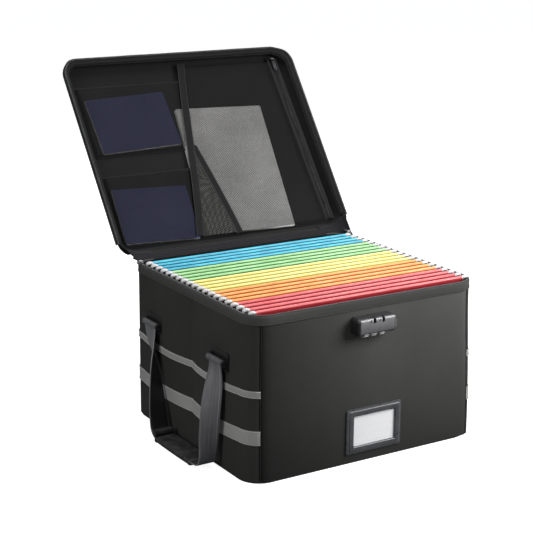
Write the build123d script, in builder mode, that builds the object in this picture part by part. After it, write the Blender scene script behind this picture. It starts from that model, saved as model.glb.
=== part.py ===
from build123d import *
from math import cos, radians, sin
import os

os.makedirs("parts", exist_ok=True)

# A soft-sided file box with a zipped lid, standing on Z = 0. X runs to the right along the front,
# Y to the rear, and the origin is the centre of the underside.

# ---------------------------------------------------------------- driving dimensions, millimetres
BOX_WIDTH = 400.0
BOX_DEPTH = 362.0
BOX_HEIGHT = 248.0
CORNER_RADIUS = 34.0
SEAM_ANGLE = 45.0
CORNER_ANGLE = 90.0

# Wall layers, from outside to inside
COVER = 1.2
BOARD = 3.5
LINING = 0.8
BASE_COVER = 1.4
BASE_BOARD = 3.0
GAP = 0.3

# Side walls: two boards that fold inwards on a soft crease at mid depth
SIDE_BULGE = 3.0
FOLD_DEPTH = 3.2
FOLD_HALF_WIDTH = 9.0
BOARD_END_GAP = 2.0

# Binding round the opening, and the zip chain on it
RIM_BAND = 12.5
RIM_PROUD = 1.0
RIM_CAP = 1.6
CHAIN_WIDTH = 3.0
CHAIN_HEIGHT = 1.8
CHAIN_INSET = 0.4
CHAIN_REAR_OVERRUN = 19.0

# Grey strips sewn along each side
STRIP = 0.8
UPPER_STRIP_DROP = 120.0
UPPER_STRIP_HEIGHT = 10.5
LOWER_STRIP_DROP = 190.5
LOWER_STRIP_HEIGHT = 21.5

# Folder rails and the ten hanging folders
FOLDER_COUNT = 10
FOLDER_COLOURS = ("red", "orange", "yellow", "green", "blue")
RAIL_THICKNESS = 2.0
RAIL_STANDOFF = 8.7
RAIL_TOP_DROP = 1.5
RAIL_UPRIGHT = 15.0
RAIL_PLATE_DROP = 20.0
RAIL_END_MARGIN = 9.5
ROD_THICKNESS = 1.4
ROD_HEIGHT = 8.5
ROD_FRONT_MARGIN = 13.5
ROD_REAR_MARGIN = 29.5
HOOK_DROP = 3.0
HOOK_TIP = 2.0
HOOK_CLEAR = 0.6
SHEET = 1.0
SHEET_INSET = 6.8
SHEET_CLEAR = 0.15
FOLDER_FLOOR_CLEAR = 7.0

# Lid: a flared soft tray, held open at rest
LID_REST_ANGLE = 128.0
LID_TOP_WIDTH = 406.0
LID_RIM_WIDTH = 438.0
LID_REAR_RISE = 28.0
LID_FRONT_OVERHANG = 3.0
LID_RIM_OVERHANG = 5.5
LID_RIM_REAR = 1.0
LID_HEIGHT = 21.0
LID_SKIRT = 5.0
LID_TOP_RADIUS = 26.0
LID_RIM_RADIUS = 32.0
LID_COVER = 1.4
LID_BOARD = 3.0
LID_LINING = 0.8
HINGE_NOTCH = 27.0
HINGE_NOTCH_DEPTH = 8.0
HINGE_NOTCH_SIDE = 4.0
LID_BINDING = 4.6
LID_BINDING_HEIGHT = 3.0
LID_BINDING_PROUD = 1.0

# Hinge strip of fabric: a bead in a groove of the rear rim, and a flap sewn to the outside of the lid
HINGE_BEAD = 1.3
HINGE_CLEAR = 0.05
HINGE_STRIP = 1.2
HINGE_STRIP_START = 2.2
HINGE_STRIP_LAP = 10.0
HINGE_STRIP_MARGIN = 10.0

# Pockets on the lid's lining: pocket positions are X across the lid and V up it from the hinge
MESH = 0.8
POCKET_DEPTH = 6.4
POCKET_BOTTOM_V = 26.0
POCKET_SIDE_X = 201.0
LOWER_POCKET_TOP_V = 152.0
UPPER_POCKET_BOTTOM_V = 190.0
UPPER_POCKET_TOP_V = 318.0
RIGHT_POCKET_TOP_MARGIN = 10.0
RIGHT_POCKET_SIDE_X = 197.0
SEAM_TOP_X = -39.6
SEAM_BOTTOM_X = -56.5
SEAM_GAP = 0.2
BAND = 1.2
DIVIDER_WIDTH = 15.0
DIVIDER_TOP_X = 9.0
DIVIDER_OVERRUN = 2.0
DIVIDER_BOTTOM = (-62.0, 30.0)
DIAGONAL_WIDTH = 12.0
DIAGONAL_ENDS = ((-26.0, 198.0), (10.0, 26.0))
POCKET_CHAIN_X = 192.0
POCKET_CHAIN_WIDTH = 4.0
POCKET_CHAIN_HEIGHT = 1.4
POCKET_CHAIN_MARGIN = 4.0

# Papers carried in the pockets: X, V, turn, width and length of each
BOOKLET_THICKNESS = 4.6
BOOKLET_RADIUS = 3.5
UPPER_BOOKLET = (-113.5, 249.0, 1.7, 142.0, 98.0)
LOWER_BOOKLET = (-127.8, 79.5, -3.0, 132.0, 97.0)
NOTEBOOK_THICKNESS = 5.0
NOTEBOOK_RADIUS = 4.0
NOTEBOOK = (47.5, 147.5, -1.0, 170.0, 236.0)
PAPER_GAP = 0.3

# Zip sliders and their pulls
SLIDER_LENGTH = 12.0
SLIDER_WIDTH = 8.4
SLIDER_PLATE = 1.4
SLIDER_CLEAR = 0.15
SLIDER_REST_MARGIN = 24.0
POCKET_SLIDER_LENGTH = 9.0
POCKET_SLIDER_DROP = 4.0
CHEEK = 0.9
CHEEK_SPACING = 6.2
PIVOT_RADIUS = 0.6
PIVOT_CLEAR = 0.1
PIVOT_BARREL = 1.2
PULL_LENGTH = 23.0
PULL_WIDTH = 6.0
PULL_THICKNESS = 1.0
PULL_HOLE = 1.4

# Handles: webbing loops that swing on sleeves round the anchor pins
ANCHOR_SPACING = 200.0
ANCHOR_DROP = 80.0
ANCHOR_WIDTH = 50.0
ANCHOR_HEIGHT = 28.0
ANCHOR_FACE = 5.0
PIN_OFF = 10.4
PIN_RADIUS = 2.5
PIN_CLEAR = 0.08
SLEEVE_RADIUS = 4.8
SLEEVE_LENGTH = 42.0
SLEEVE_GAP = 0.3
WEBBING = 2.2
WEBBING_WIDTH = 38.0
WEBBING_FOLDED = 32.0
LOOP_OFF = 27.5
LOOP_TAB_DROP = 16.0
LOOP_FRONT_TOP_Y = -116.0
LOOP_FRONT_TOP_DROP = 46.0
LOOP_FRONT_BOTTOM = (-98.0, 10.0)
LOOP_REAR_BOTTOM = (42.0, 10.0)
LOOP_REAR_TOP_Y = 52.0
LOOP_REAR_TOP_DROP = 68.0
LOOP_CORNER = 14.0
TWIST_STEPS = 4
GRIP_THICKNESS = 7.0
GRIP_WIDTH = 36.0
GRIP_FRONT_Y = -82.0
GRIP_REAR_Y = 26.0
GRIP_ROUND = 3.0

# Label holder on the front
LABEL_X = 11.0
LABEL_Z = 49.3
LABEL_WIDTH = 98.0
LABEL_HEIGHT = 70.0
LABEL_BASE = 2.6
LABEL_RISE = 1.8
LABEL_STEP = 4.0
LABEL_ROUND = 3.0
WINDOW_WIDTH = 74.0
WINDOW_HEIGHT = 46.0
CARD_WIDTH = 82.0
CARD_HEIGHT = 54.0
CARD_THICKNESS = 0.5
CARD_CLEAR = 0.1
CARD_BACK = 0.9
PANE_THICKNESS = 0.8
PANE_BORDER = 2.0

# Combination lock on the front
LOCK_X = 0.0
LOCK_DROP = 35.5
LOCK_WIDTH = 68.0
LOCK_DEPTH = 20.0
LOCK_HEIGHT = 26.0
LOCK_WALL = 2.4
LOCK_EDGE = 5.0
DIAL_COUNT = 3
DIAL_PITCH = 14.0
DIAL_WIDTH = 8.0
DIAL_RADIUS = 8.0
DIAL_NOTCHES = 10
DIAL_NOTCH_RADIUS = 0.9
DIAL_INSET = 8.6
DIAL_RAISE = 4.5
DIAL_ROW_OFFSET = -4.4
DIAL_CLEAR = 0.4
SPINDLE_RADIUS = 2.0
SPINDLE_CLEAR = 0.05
SPINDLE_SEAT = 1.2
SLOT_WIDTH = 4.8
SLOT_DEPTH = 9.0
SLOT_REACH = 9.0
SLOT_OFFSETS = (-5.2, 10.2)
RIB_OFFSET = 20.0
RIB_THICKNESS = 2.0
BUTTON_DEPTH = 10.0
BUTTON_HEIGHT = 12.0
BUTTON_PROUD = 3.0
BUTTON_DROP = 1.5
BUTTON_FLANGE = 0.8
BUTTON_CLEAR = 0.25
BUTTON_RIB = 0.8
BUTTON_RIB_COUNT = 4
BOSS_RADIUS = 3.2
BOSS_OFFSET_X = 28.0
BOSS_OFFSET_Z = 9.0
SCREW_RADIUS = 1.3
SCREW_HEAD_RADIUS = 2.8
SCREW_HEAD = 1.4
SCREW_REACH = 8.0

# ---------------------------------------------------------------- derived places
HALF_WIDTH = BOX_WIDTH / 2
HALF_DEPTH = BOX_DEPTH / 2
CORNER_X = HALF_WIDTH - CORNER_RADIUS
CORNER_Y = HALF_DEPTH - CORNER_RADIUS
WALL = COVER + BOARD + LINING
INNER_X = HALF_WIDTH - WALL
INNER_Y = HALF_DEPTH - WALL
PANEL_TOP = BOX_HEIGHT - RIM_BAND
WALL_TOP = BOX_HEIGHT - RIM_CAP
FLOOR_TOP = BASE_COVER + BASE_BOARD + LINING
RAIL_X = INNER_X - RAIL_STANDOFF
RAIL_TOP = BOX_HEIGHT - RAIL_TOP_DROP
RAIL_FLANGE_BOTTOM = RAIL_TOP - RAIL_UPRIGHT - RAIL_PLATE_DROP
RAIL_INNER = RAIL_X - RAIL_THICKNESS / 2
RAIL_OUTER = RAIL_X + RAIL_THICKNESS / 2
ROD_FIRST_Y = ROD_FRONT_MARGIN - INNER_Y
ROD_LAST_Y = INNER_Y - ROD_REAR_MARGIN
ROD_PITCH = (ROD_LAST_Y - ROD_FIRST_Y) / (2 * FOLDER_COUNT - 1)
ROD_SEAT = RAIL_TOP + GAP
ROD_TOP = ROD_SEAT + ROD_HEIGHT / 2
ROD_BOTTOM = ROD_TOP - ROD_HEIGHT
ROD_END = RAIL_OUTER + HOOK_CLEAR + HOOK_TIP
SHEET_END = RAIL_INNER - SHEET_INSET
SHEET_BOTTOM = FLOOR_TOP + FOLDER_FLOOR_CLEAR
RIGHT_POCKET_TOP_V = BOX_DEPTH - RIGHT_POCKET_TOP_MARGIN
POCKET_SLIDER_REST_V = RIGHT_POCKET_TOP_V - POCKET_SLIDER_DROP
DIVIDER_ENDS = ((DIVIDER_TOP_X, RIGHT_POCKET_TOP_V + DIVIDER_OVERRUN), DIVIDER_BOTTOM)
ANCHOR_Z = BOX_HEIGHT - ANCHOR_DROP
LOOP_TAB_Z = ANCHOR_Z - LOOP_TAB_DROP
LOOP_FRONT_TOP = (LOOP_FRONT_TOP_Y, ANCHOR_Z - LOOP_FRONT_TOP_DROP)
LOOP_REAR_TOP = (LOOP_REAR_TOP_Y, ANCHOR_Z - LOOP_REAR_TOP_DROP)
LOCK_Z = BOX_HEIGHT - LOCK_DROP
UPPER_STRIP_Z = BOX_HEIGHT - UPPER_STRIP_DROP
LOWER_STRIP_Z = BOX_HEIGHT - LOWER_STRIP_DROP
SLIDER_REST_Y = HALF_DEPTH - SLIDER_REST_MARGIN
SIDES = (("left", -1), ("right", 1))

front_face = Plane(origin=(0, -HALF_DEPTH, 0), x_dir=(1, 0, 0), z_dir=(0, -1, 0))
lid_turn = radians(LID_REST_ANGLE)
lid_plane = Plane(
    origin=(0, HALF_DEPTH, BOX_HEIGHT),
    x_dir=(1, 0, 0),
    z_dir=(0, -sin(lid_turn), -cos(lid_turn)),
)
LID_TOP_FRONT = BOX_DEPTH + LID_FRONT_OVERHANG
LID_RIM_FRONT = BOX_DEPTH + LID_RIM_OVERHANG
LINING_FACE = -(LID_HEIGHT - LID_COVER - LID_BOARD - LID_LINING)
MESH_FACE = LINING_FACE + POCKET_DEPTH


def finish(piece, name):
    """Label a finished piece and write it under its own name."""
    piece.part.label = name
    export_step(piece.part, f"parts/{name}.step")


# ---------------------------------------------------------------- box shell
def corner_point(side, end, degrees):
    """Point of a corner arc in plan, from 0 degrees on the front or rear wall to 90 on the side wall."""
    turn = radians(degrees)
    x = side * (CORNER_X + CORNER_RADIUS * sin(turn))
    return (x, end * (CORNER_Y + CORNER_RADIUS * cos(turn)))


def side_outline(side):
    """Outer line of a side wall in plan: seam on the front corner, two bulged halves with the crease
    between them, seam on the rear corner. It is drawn from front to rear."""
    edge = side * HALF_WIDTH
    bulge = side * (HALF_WIDTH + SIDE_BULGE)
    crease = side * (HALF_WIDTH - FOLD_DEPTH)
    middle = (CORNER_Y + FOLD_HALF_WIDTH) / 2
    half_turn = (SEAM_ANGLE + CORNER_ANGLE) / 2
    ThreePointArc(corner_point(side, -1, SEAM_ANGLE), corner_point(side, -1, half_turn), (edge, -CORNER_Y))
    ThreePointArc((edge, -CORNER_Y), (bulge, -middle), (edge, -FOLD_HALF_WIDTH))
    Line((edge, -FOLD_HALF_WIDTH), (crease, 0))
    Line((crease, 0), (edge, FOLD_HALF_WIDTH))
    ThreePointArc((edge, FOLD_HALF_WIDTH), (bulge, middle), (edge, CORNER_Y))
    ThreePointArc((edge, CORNER_Y), corner_point(side, 1, half_turn), corner_point(side, 1, SEAM_ANGLE))


def face_outline(end):
    """Outer line of the front or rear wall in plan with its half of each corner, from left to right."""
    face_y = end * HALF_DEPTH
    half_turn = SEAM_ANGLE / 2
    ThreePointArc(corner_point(-1, end, SEAM_ANGLE), corner_point(-1, end, half_turn), (-CORNER_X, face_y))
    Line((-CORNER_X, face_y), (CORNER_X, face_y))
    ThreePointArc((CORNER_X, face_y), corner_point(1, end, half_turn), corner_point(1, end, SEAM_ANGLE))


def inner_side(side):
    return Side.LEFT if side > 0 else Side.RIGHT


def outer_side(side):
    return Side.RIGHT if side > 0 else Side.LEFT


for label, side in SIDES:
    with BuildPart() as side_panel:
        with BuildSketch(Plane.XY.offset(BASE_COVER)):
            with BuildLine():
                side_outline(side)
                offset(amount=COVER, side=inner_side(side))
            make_face()
        extrude(amount=PANEL_TOP - BASE_COVER)
    finish(side_panel, f"{label}_side_panel")

    with BuildPart() as strips:
        for bottom, height in ((UPPER_STRIP_Z, UPPER_STRIP_HEIGHT), (LOWER_STRIP_Z, LOWER_STRIP_HEIGHT)):
            with BuildSketch(Plane.XY.offset(bottom)):
                with BuildLine():
                    side_outline(side)
                    offset(amount=STRIP, side=outer_side(side))
                make_face()
            extrude(amount=height)
    finish(strips, f"grey_strips_{label}")

SCREW_HOLE = SCREW_RADIUS + GAP
screw_places = [(LOCK_X + sign * BOSS_OFFSET_X, LOCK_Z + BOSS_OFFSET_Z) for sign in (-1, 1)]

with BuildPart() as front_panel:
    with BuildSketch(Plane.XY.offset(BASE_COVER)):
        with BuildLine():
            face_outline(-1)
            offset(amount=COVER, side=Side.LEFT)
        make_face()
    extrude(amount=PANEL_TOP - BASE_COVER)
    with BuildSketch(front_face):
        with Locations(screw_places):
            Circle(SCREW_HOLE)
    extrude(amount=-2 * COVER, mode=Mode.SUBTRACT)
finish(front_panel, "front_panel")

with BuildPart() as rear_panel:
    with BuildSketch(Plane.XY.offset(BASE_COVER)):
        with BuildLine():
            face_outline(1)
            offset(amount=COVER, side=Side.RIGHT)
        make_face()
    extrude(amount=PANEL_TOP - BASE_COVER)
finish(rear_panel, "rear_panel")

with BuildPart() as bottom_panel:
    with BuildSketch():
        RectangleRounded(BOX_WIDTH, BOX_DEPTH, CORNER_RADIUS)
    extrude(amount=BASE_COVER)
finish(bottom_panel, "bottom_panel")

LINING_OUTER_X = HALF_WIDTH - COVER - BOARD
LINING_OUTER_Y = HALF_DEPTH - COVER - BOARD
LINING_RADIUS = CORNER_RADIUS - COVER - BOARD

with BuildPart() as bottom_board:
    with BuildSketch(Plane.XY.offset(BASE_COVER)):
        RectangleRounded(2 * LINING_OUTER_X, 2 * LINING_OUTER_Y, LINING_RADIUS)
    extrude(amount=BASE_BOARD)
finish(bottom_board, "bottom_board")

with BuildPart() as box_lining:
    with BuildSketch(Plane.XY.offset(BASE_COVER + BASE_BOARD)):
        RectangleRounded(2 * LINING_OUTER_X, 2 * LINING_OUTER_Y, LINING_RADIUS)
    extrude(amount=WALL_TOP - BASE_COVER - BASE_BOARD)
    with BuildSketch(Plane.XY.offset(FLOOR_TOP)):
        RectangleRounded(2 * INNER_X, 2 * INNER_Y, LINING_RADIUS - LINING)
    extrude(amount=BOX_HEIGHT, mode=Mode.SUBTRACT)
    with BuildSketch(front_face):
        with Locations(screw_places):
            Circle(SCREW_HOLE)
    extrude(amount=-2 * WALL, mode=Mode.SUBTRACT)
finish(box_lining, "box_lining")

# Six stiffener boards stand between cover and lining: front, rear, and two on each side, which leave
# room for the crease.
BOARD_HEIGHT = WALL_TOP - BASE_COVER
SIDE_BOARD_START = FOLD_HALF_WIDTH + BOARD_END_GAP
with BuildPart() as wall_boards:
    with BuildSketch(Plane.XY.offset(BASE_COVER)):
        for sign in (-1, 1):
            with Locations((0, sign * (LINING_OUTER_Y + BOARD / 2))):
                Rectangle(2 * (CORNER_X - BOARD_END_GAP), BOARD)
            for end in (-1, 1):
                with Locations((sign * (LINING_OUTER_X + BOARD / 2), end * (SIDE_BOARD_START + CORNER_Y) / 2)):
                    Rectangle(BOARD, CORNER_Y - SIDE_BOARD_START - BOARD_END_GAP)
    extrude(amount=BOARD_HEIGHT)
    with BuildSketch(front_face):
        with Locations(screw_places):
            Circle(SCREW_HOLE)
    extrude(amount=-2 * WALL, mode=Mode.SUBTRACT)
finish(wall_boards, "wall_boards")

HINGE_REACH = CORNER_X - GAP
with BuildPart() as rim_band:
    with BuildSketch(Plane.XY.offset(PANEL_TOP)):
        RectangleRounded(BOX_WIDTH + 2 * RIM_PROUD, BOX_DEPTH + 2 * RIM_PROUD, CORNER_RADIUS + RIM_PROUD)
    extrude(amount=RIM_BAND)
    with BuildSketch(Plane.XY.offset(PANEL_TOP)):
        RectangleRounded(BOX_WIDTH - 2 * COVER, BOX_DEPTH - 2 * COVER, CORNER_RADIUS - COVER)
    extrude(amount=RIM_BAND - RIM_CAP, mode=Mode.SUBTRACT)
    with BuildSketch(Plane.XY.offset(PANEL_TOP)):
        RectangleRounded(2 * INNER_X, 2 * INNER_Y, LINING_RADIUS - LINING)
    extrude(amount=RIM_BAND, mode=Mode.SUBTRACT)
    with BuildSketch(Plane.YZ.offset(-HINGE_REACH - GAP)):
        with Locations((HALF_DEPTH, BOX_HEIGHT)):
            Circle(HINGE_BEAD + HINGE_CLEAR)
    extrude(amount=2 * (HINGE_REACH + GAP), mode=Mode.SUBTRACT)
finish(rim_band, "rim_band")

# The chain runs straight back past the rear corners, where the tape tails end.
CHAIN_OUTER_X = HALF_WIDTH - CHAIN_INSET
CHAIN_OUTER_Y = HALF_DEPTH - CHAIN_INSET
CHAIN_END_Y = CORNER_Y + CHAIN_REAR_OVERRUN
CHAIN_LENGTH = CHAIN_OUTER_Y + CHAIN_END_Y
CHAIN_MID_Y = (CHAIN_END_Y - CHAIN_OUTER_Y) / 2
with BuildPart() as rim_zip_chain:
    with BuildSketch(Plane.XY.offset(BOX_HEIGHT)) as chain_outer:
        with Locations((0, CHAIN_MID_Y)):
            Rectangle(2 * CHAIN_OUTER_X, CHAIN_LENGTH)
        fillet(chain_outer.vertices().group_by(Axis.Y)[0], CORNER_RADIUS - CHAIN_INSET)
    extrude(amount=CHAIN_HEIGHT)
    with BuildSketch(Plane.XY.offset(BOX_HEIGHT)) as chain_inner:
        with Locations((0, CHAIN_MID_Y + CHAIN_WIDTH)):
            Rectangle(2 * (CHAIN_OUTER_X - CHAIN_WIDTH), CHAIN_LENGTH)
        fillet(chain_inner.vertices().group_by(Axis.Y)[0], CORNER_RADIUS - CHAIN_INSET - CHAIN_WIDTH)
    extrude(amount=CHAIN_HEIGHT, mode=Mode.SUBTRACT)
finish(rim_zip_chain, "rim_zip_chain")

# ---------------------------------------------------------------- folder rails
RAIL_LENGTH = 2 * (INNER_Y - RAIL_END_MARGIN)
FLANGE_LENGTH = 2 * CORNER_Y
RAIL_SHELF = RAIL_TOP - RAIL_UPRIGHT
with BuildPart() as folder_rails:
    for label, side in SIDES:
        with BuildSketch(Plane.XY.offset(RAIL_SHELF)):
            with Locations((side * RAIL_X, 0)):
                Rectangle(RAIL_THICKNESS, RAIL_LENGTH)
        extrude(amount=RAIL_UPRIGHT)
        with BuildSketch(Plane.XY.offset(RAIL_SHELF - RAIL_THICKNESS)):
            with Locations((side * (RAIL_INNER + INNER_X) / 2, 0)):
                Rectangle(INNER_X - RAIL_INNER, FLANGE_LENGTH)
            with Locations((side * RAIL_X, 0)):
                Rectangle(RAIL_THICKNESS, RAIL_LENGTH)
        extrude(amount=RAIL_THICKNESS)
        with BuildSketch(Plane.XY.offset(RAIL_FLANGE_BOTTOM)):
            with Locations((side * (INNER_X - RAIL_THICKNESS / 2), 0)):
                Rectangle(RAIL_THICKNESS, FLANGE_LENGTH)
        extrude(amount=RAIL_SHELF - RAIL_FLANGE_BOTTOM)
finish(folder_rails, "folder_rails")

# ---------------------------------------------------------------- hanging folders
HEM_HALF = ROD_THICKNESS / 2 + SHEET_CLEAR
HEM_TOP = ROD_TOP + SHEET_CLEAR
HEM_BOTTOM = ROD_BOTTOM - SHEET_CLEAR


def hem_outline(rod_y, skin):
    """Section of the hem round a rod, grown by the sheet thickness or not at all."""
    with Locations((rod_y, (HEM_TOP + HEM_BOTTOM) / 2)):
        Rectangle(2 * (HEM_HALF + skin), HEM_TOP - HEM_BOTTOM + 2 * skin)


def rod_outline():
    """Front view of a folder rod with a hook over each rail."""
    return Polyline(
        (-ROD_END, ROD_TOP),
        (-ROD_END, ROD_SEAT - HOOK_DROP),
        (-RAIL_OUTER - HOOK_CLEAR, ROD_SEAT - HOOK_DROP),
        (-RAIL_OUTER - HOOK_CLEAR, ROD_SEAT),
        (-RAIL_INNER + HOOK_CLEAR, ROD_SEAT),
        (-RAIL_INNER + HOOK_CLEAR, ROD_BOTTOM),
        (RAIL_INNER - HOOK_CLEAR, ROD_BOTTOM),
        (RAIL_INNER - HOOK_CLEAR, ROD_SEAT),
        (RAIL_OUTER + HOOK_CLEAR, ROD_SEAT),
        (RAIL_OUTER + HOOK_CLEAR, ROD_SEAT - HOOK_DROP),
        (ROD_END, ROD_SEAT - HOOK_DROP),
        (ROD_END, ROD_TOP),
        close=True,
    )


for number in range(FOLDER_COUNT):
    front_rod = ROD_FIRST_Y + 2 * number * ROD_PITCH
    rear_rod = front_rod + ROD_PITCH
    leaf_front = front_rod - HEM_HALF - SHEET
    leaf_rear = rear_rod + HEM_HALF + SHEET
    leaf_mid = (leaf_front + leaf_rear) / 2
    leaf_width = leaf_rear - leaf_front
    leaf_height = HEM_TOP - SHEET_BOTTOM
    with BuildPart() as folder:
        with BuildSketch(Plane.YZ.offset(-SHEET_END)):
            with Locations((leaf_mid, SHEET_BOTTOM + leaf_height / 2)):
                Rectangle(leaf_width, leaf_height)
                Rectangle(leaf_width - 2 * SHEET, leaf_height + 2 * SHEET, mode=Mode.SUBTRACT)
            with Locations((leaf_mid, SHEET_BOTTOM + SHEET / 2)):
                Rectangle(leaf_width, SHEET)
            hem_outline(front_rod, SHEET)
            hem_outline(rear_rod, SHEET)
            with Locations((front_rod, 0), (rear_rod, 0)):
                with Locations((0, (HEM_TOP + HEM_BOTTOM) / 2)):
                    Rectangle(2 * HEM_HALF, HEM_TOP - HEM_BOTTOM, mode=Mode.SUBTRACT)
        extrude(amount=2 * SHEET_END)
        for rod_y in (front_rod, rear_rod):
            with BuildSketch(Plane.XZ.offset(-rod_y - ROD_THICKNESS / 2)):
                with BuildLine():
                    rod_outline()
                make_face()
            extrude(amount=ROD_THICKNESS)
    finish(folder, f"hanging_folder_{number + 1:02d}")

# ---------------------------------------------------------------- lid
def tray_section(level, inset, mode=Mode.ADD):
    """Outline of the lid at a level along its inward normal, drawn smaller all round by the inset."""
    share = (level + LID_HEIGHT) / (LID_HEIGHT + LID_SKIRT)
    width = LID_TOP_WIDTH + share * (LID_RIM_WIDTH - LID_TOP_WIDTH)
    rear = LID_REAR_RISE + share * (LID_RIM_REAR - LID_REAR_RISE)
    front = LID_TOP_FRONT + share * (LID_RIM_FRONT - LID_TOP_FRONT)
    radius = LID_TOP_RADIUS + share * (LID_RIM_RADIUS - LID_TOP_RADIUS)
    with Locations((0, (rear + front) / 2)):
        RectangleRounded(width - 2 * inset, front - rear - 2 * inset, radius - inset, mode=mode)


# The hinge side is cut away below the strip, so that the closed lid clears the rear wall.
NOTCH_WIDTH = 2 * (HALF_WIDTH + HINGE_NOTCH_SIDE)
NOTCH_RISE = HINGE_NOTCH_DEPTH + 2 * LID_SKIRT


WALL_END = LID_SKIRT - LID_BINDING_HEIGHT
BOARD_OUTER = -LID_HEIGHT + LID_COVER
BOARD_INNER = BOARD_OUTER + LID_BOARD

with BuildPart() as lid_cover:
    with BuildSketch(lid_plane.offset(-LID_HEIGHT)):
        tray_section(-LID_HEIGHT, 0)
    with BuildSketch(lid_plane.offset(WALL_END)):
        tray_section(WALL_END, 0)
    loft()
    with BuildSketch(lid_plane.offset(BOARD_OUTER)):
        tray_section(BOARD_OUTER, LID_COVER)
    with BuildSketch(lid_plane.offset(WALL_END)):
        tray_section(WALL_END, LID_COVER)
    loft(mode=Mode.SUBTRACT)
    with BuildSketch(lid_plane.offset(-HINGE_NOTCH_DEPTH)):
        Rectangle(NOTCH_WIDTH, 2 * HINGE_NOTCH)
    extrude(amount=NOTCH_RISE, mode=Mode.SUBTRACT)
finish(lid_cover, "lid_cover")

with BuildPart() as lid_board:
    with BuildSketch(lid_plane.offset(BOARD_OUTER)):
        tray_section(BOARD_OUTER, LID_COVER)
    with BuildSketch(lid_plane.offset(BOARD_INNER)):
        tray_section(BOARD_INNER, LID_COVER)
    loft()
finish(lid_board, "lid_board")

with BuildPart() as lid_lining:
    with BuildSketch(lid_plane.offset(BOARD_INNER)):
        tray_section(BOARD_INNER, LID_COVER)
    with BuildSketch(lid_plane.offset(WALL_END)):
        tray_section(WALL_END, LID_COVER)
    loft()
    with BuildSketch(lid_plane.offset(LINING_FACE)):
        tray_section(LINING_FACE, LID_COVER + LID_LINING)
    with BuildSketch(lid_plane.offset(WALL_END)):
        tray_section(WALL_END, LID_COVER + LID_LINING)
    loft(mode=Mode.SUBTRACT)
    with BuildSketch(lid_plane.offset(-HINGE_NOTCH_DEPTH)):
        Rectangle(NOTCH_WIDTH, 2 * HINGE_NOTCH)
    extrude(amount=NOTCH_RISE, mode=Mode.SUBTRACT)
finish(lid_lining, "lid_lining")


# The rim pieces run round three sides of the lid only.
with BuildPart() as lid_rim_binding:
    with BuildSketch(lid_plane.offset(WALL_END)):
        tray_section(LID_SKIRT, -LID_BINDING_PROUD)
    extrude(amount=LID_BINDING_HEIGHT)
    with BuildSketch(lid_plane.offset(WALL_END)):
        tray_section(LID_SKIRT, LID_BINDING - LID_BINDING_PROUD)
    extrude(amount=LID_BINDING_HEIGHT, mode=Mode.SUBTRACT)
    with BuildSketch(lid_plane):
        Rectangle(2 * LID_RIM_WIDTH, 2 * HINGE_NOTCH)
    extrude(amount=2 * LID_SKIRT, mode=Mode.SUBTRACT)
finish(lid_rim_binding, "lid_rim_binding")

LID_CHAIN_INSET = (LID_BINDING - CHAIN_WIDTH) / 2 - LID_BINDING_PROUD
with BuildPart() as lid_zip_chain:
    with BuildSketch(lid_plane.offset(LID_SKIRT)):
        tray_section(LID_SKIRT, LID_CHAIN_INSET)
    extrude(amount=CHAIN_HEIGHT)
    with BuildSketch(lid_plane.offset(LID_SKIRT)):
        tray_section(LID_SKIRT, LID_CHAIN_INSET + CHAIN_WIDTH)
    extrude(amount=CHAIN_HEIGHT, mode=Mode.SUBTRACT)
    with BuildSketch(lid_plane):
        Rectangle(2 * LID_RIM_WIDTH, 2 * HINGE_NOTCH)
    extrude(amount=2 * LID_SKIRT, mode=Mode.SUBTRACT)
finish(lid_zip_chain, "lid_zip_chain")

# The hinge strip turns on a bead at the hinge line, reaches the lower edge of the lid's rear wall, and
# laps up the outside of that wall. Its section is drawn in V and the lid's inward normal.
STRIP_REACH = HALF_WIDTH - HINGE_STRIP_MARGIN
strip_plane = Plane(
    origin=(0, HALF_DEPTH, BOX_HEIGHT),
    x_dir=(0, -cos(lid_turn), sin(lid_turn)),
    z_dir=(1, 0, 0),
)
wall_slope = Vector(LID_REAR_RISE - LID_RIM_REAR, -LID_HEIGHT - LID_SKIRT).normalized()
wall_out = Vector(wall_slope.Y, -wall_slope.X)
edge_share = (LID_HEIGHT - HINGE_NOTCH_DEPTH) / (LID_HEIGHT + LID_SKIRT)
wall_foot = Vector(LID_REAR_RISE + edge_share * (LID_RIM_REAR - LID_REAR_RISE), -HINGE_NOTCH_DEPTH)
wall_lap = wall_foot + wall_slope * HINGE_STRIP_LAP
strip_way = (wall_foot + wall_out * HINGE_STRIP / 2).normalized()
strip_side = Vector(-strip_way.Y, strip_way.X) * HINGE_STRIP / 2


def strip_outline(start):
    """Section of the strip from a distance off the hinge line to the end of its lap."""
    Polyline(
        strip_way * start + strip_side,
        wall_foot,
        wall_lap,
        wall_lap + wall_out * HINGE_STRIP,
        wall_foot + wall_out * HINGE_STRIP,
        strip_way * start - strip_side,
        close=True,
    )


with BuildPart() as hinge_strip:
    with BuildSketch(strip_plane.offset(-STRIP_REACH)):
        with BuildLine():
            strip_outline(HINGE_STRIP_START)
        make_face()
    extrude(amount=2 * STRIP_REACH)
    with BuildSketch(strip_plane.offset(-HINGE_REACH)):
        Circle(HINGE_BEAD)
        with BuildLine():
            strip_outline(0)
        make_face()
    extrude(amount=2 * HINGE_REACH)
finish(hinge_strip, "hinge_strip")

# ---------------------------------------------------------------- pockets in the lid
LINING_INSET = LID_COVER + LID_LINING


def seam_x(v):
    """Line between the left pockets and the right pocket: slanted low down, then straight up."""
    share = max(0.0, (UPPER_POCKET_BOTTOM_V - v) / (UPPER_POCKET_BOTTOM_V - POCKET_BOTTOM_V))
    return SEAM_TOP_X + share * (SEAM_BOTTOM_X - SEAM_TOP_X)


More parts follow.
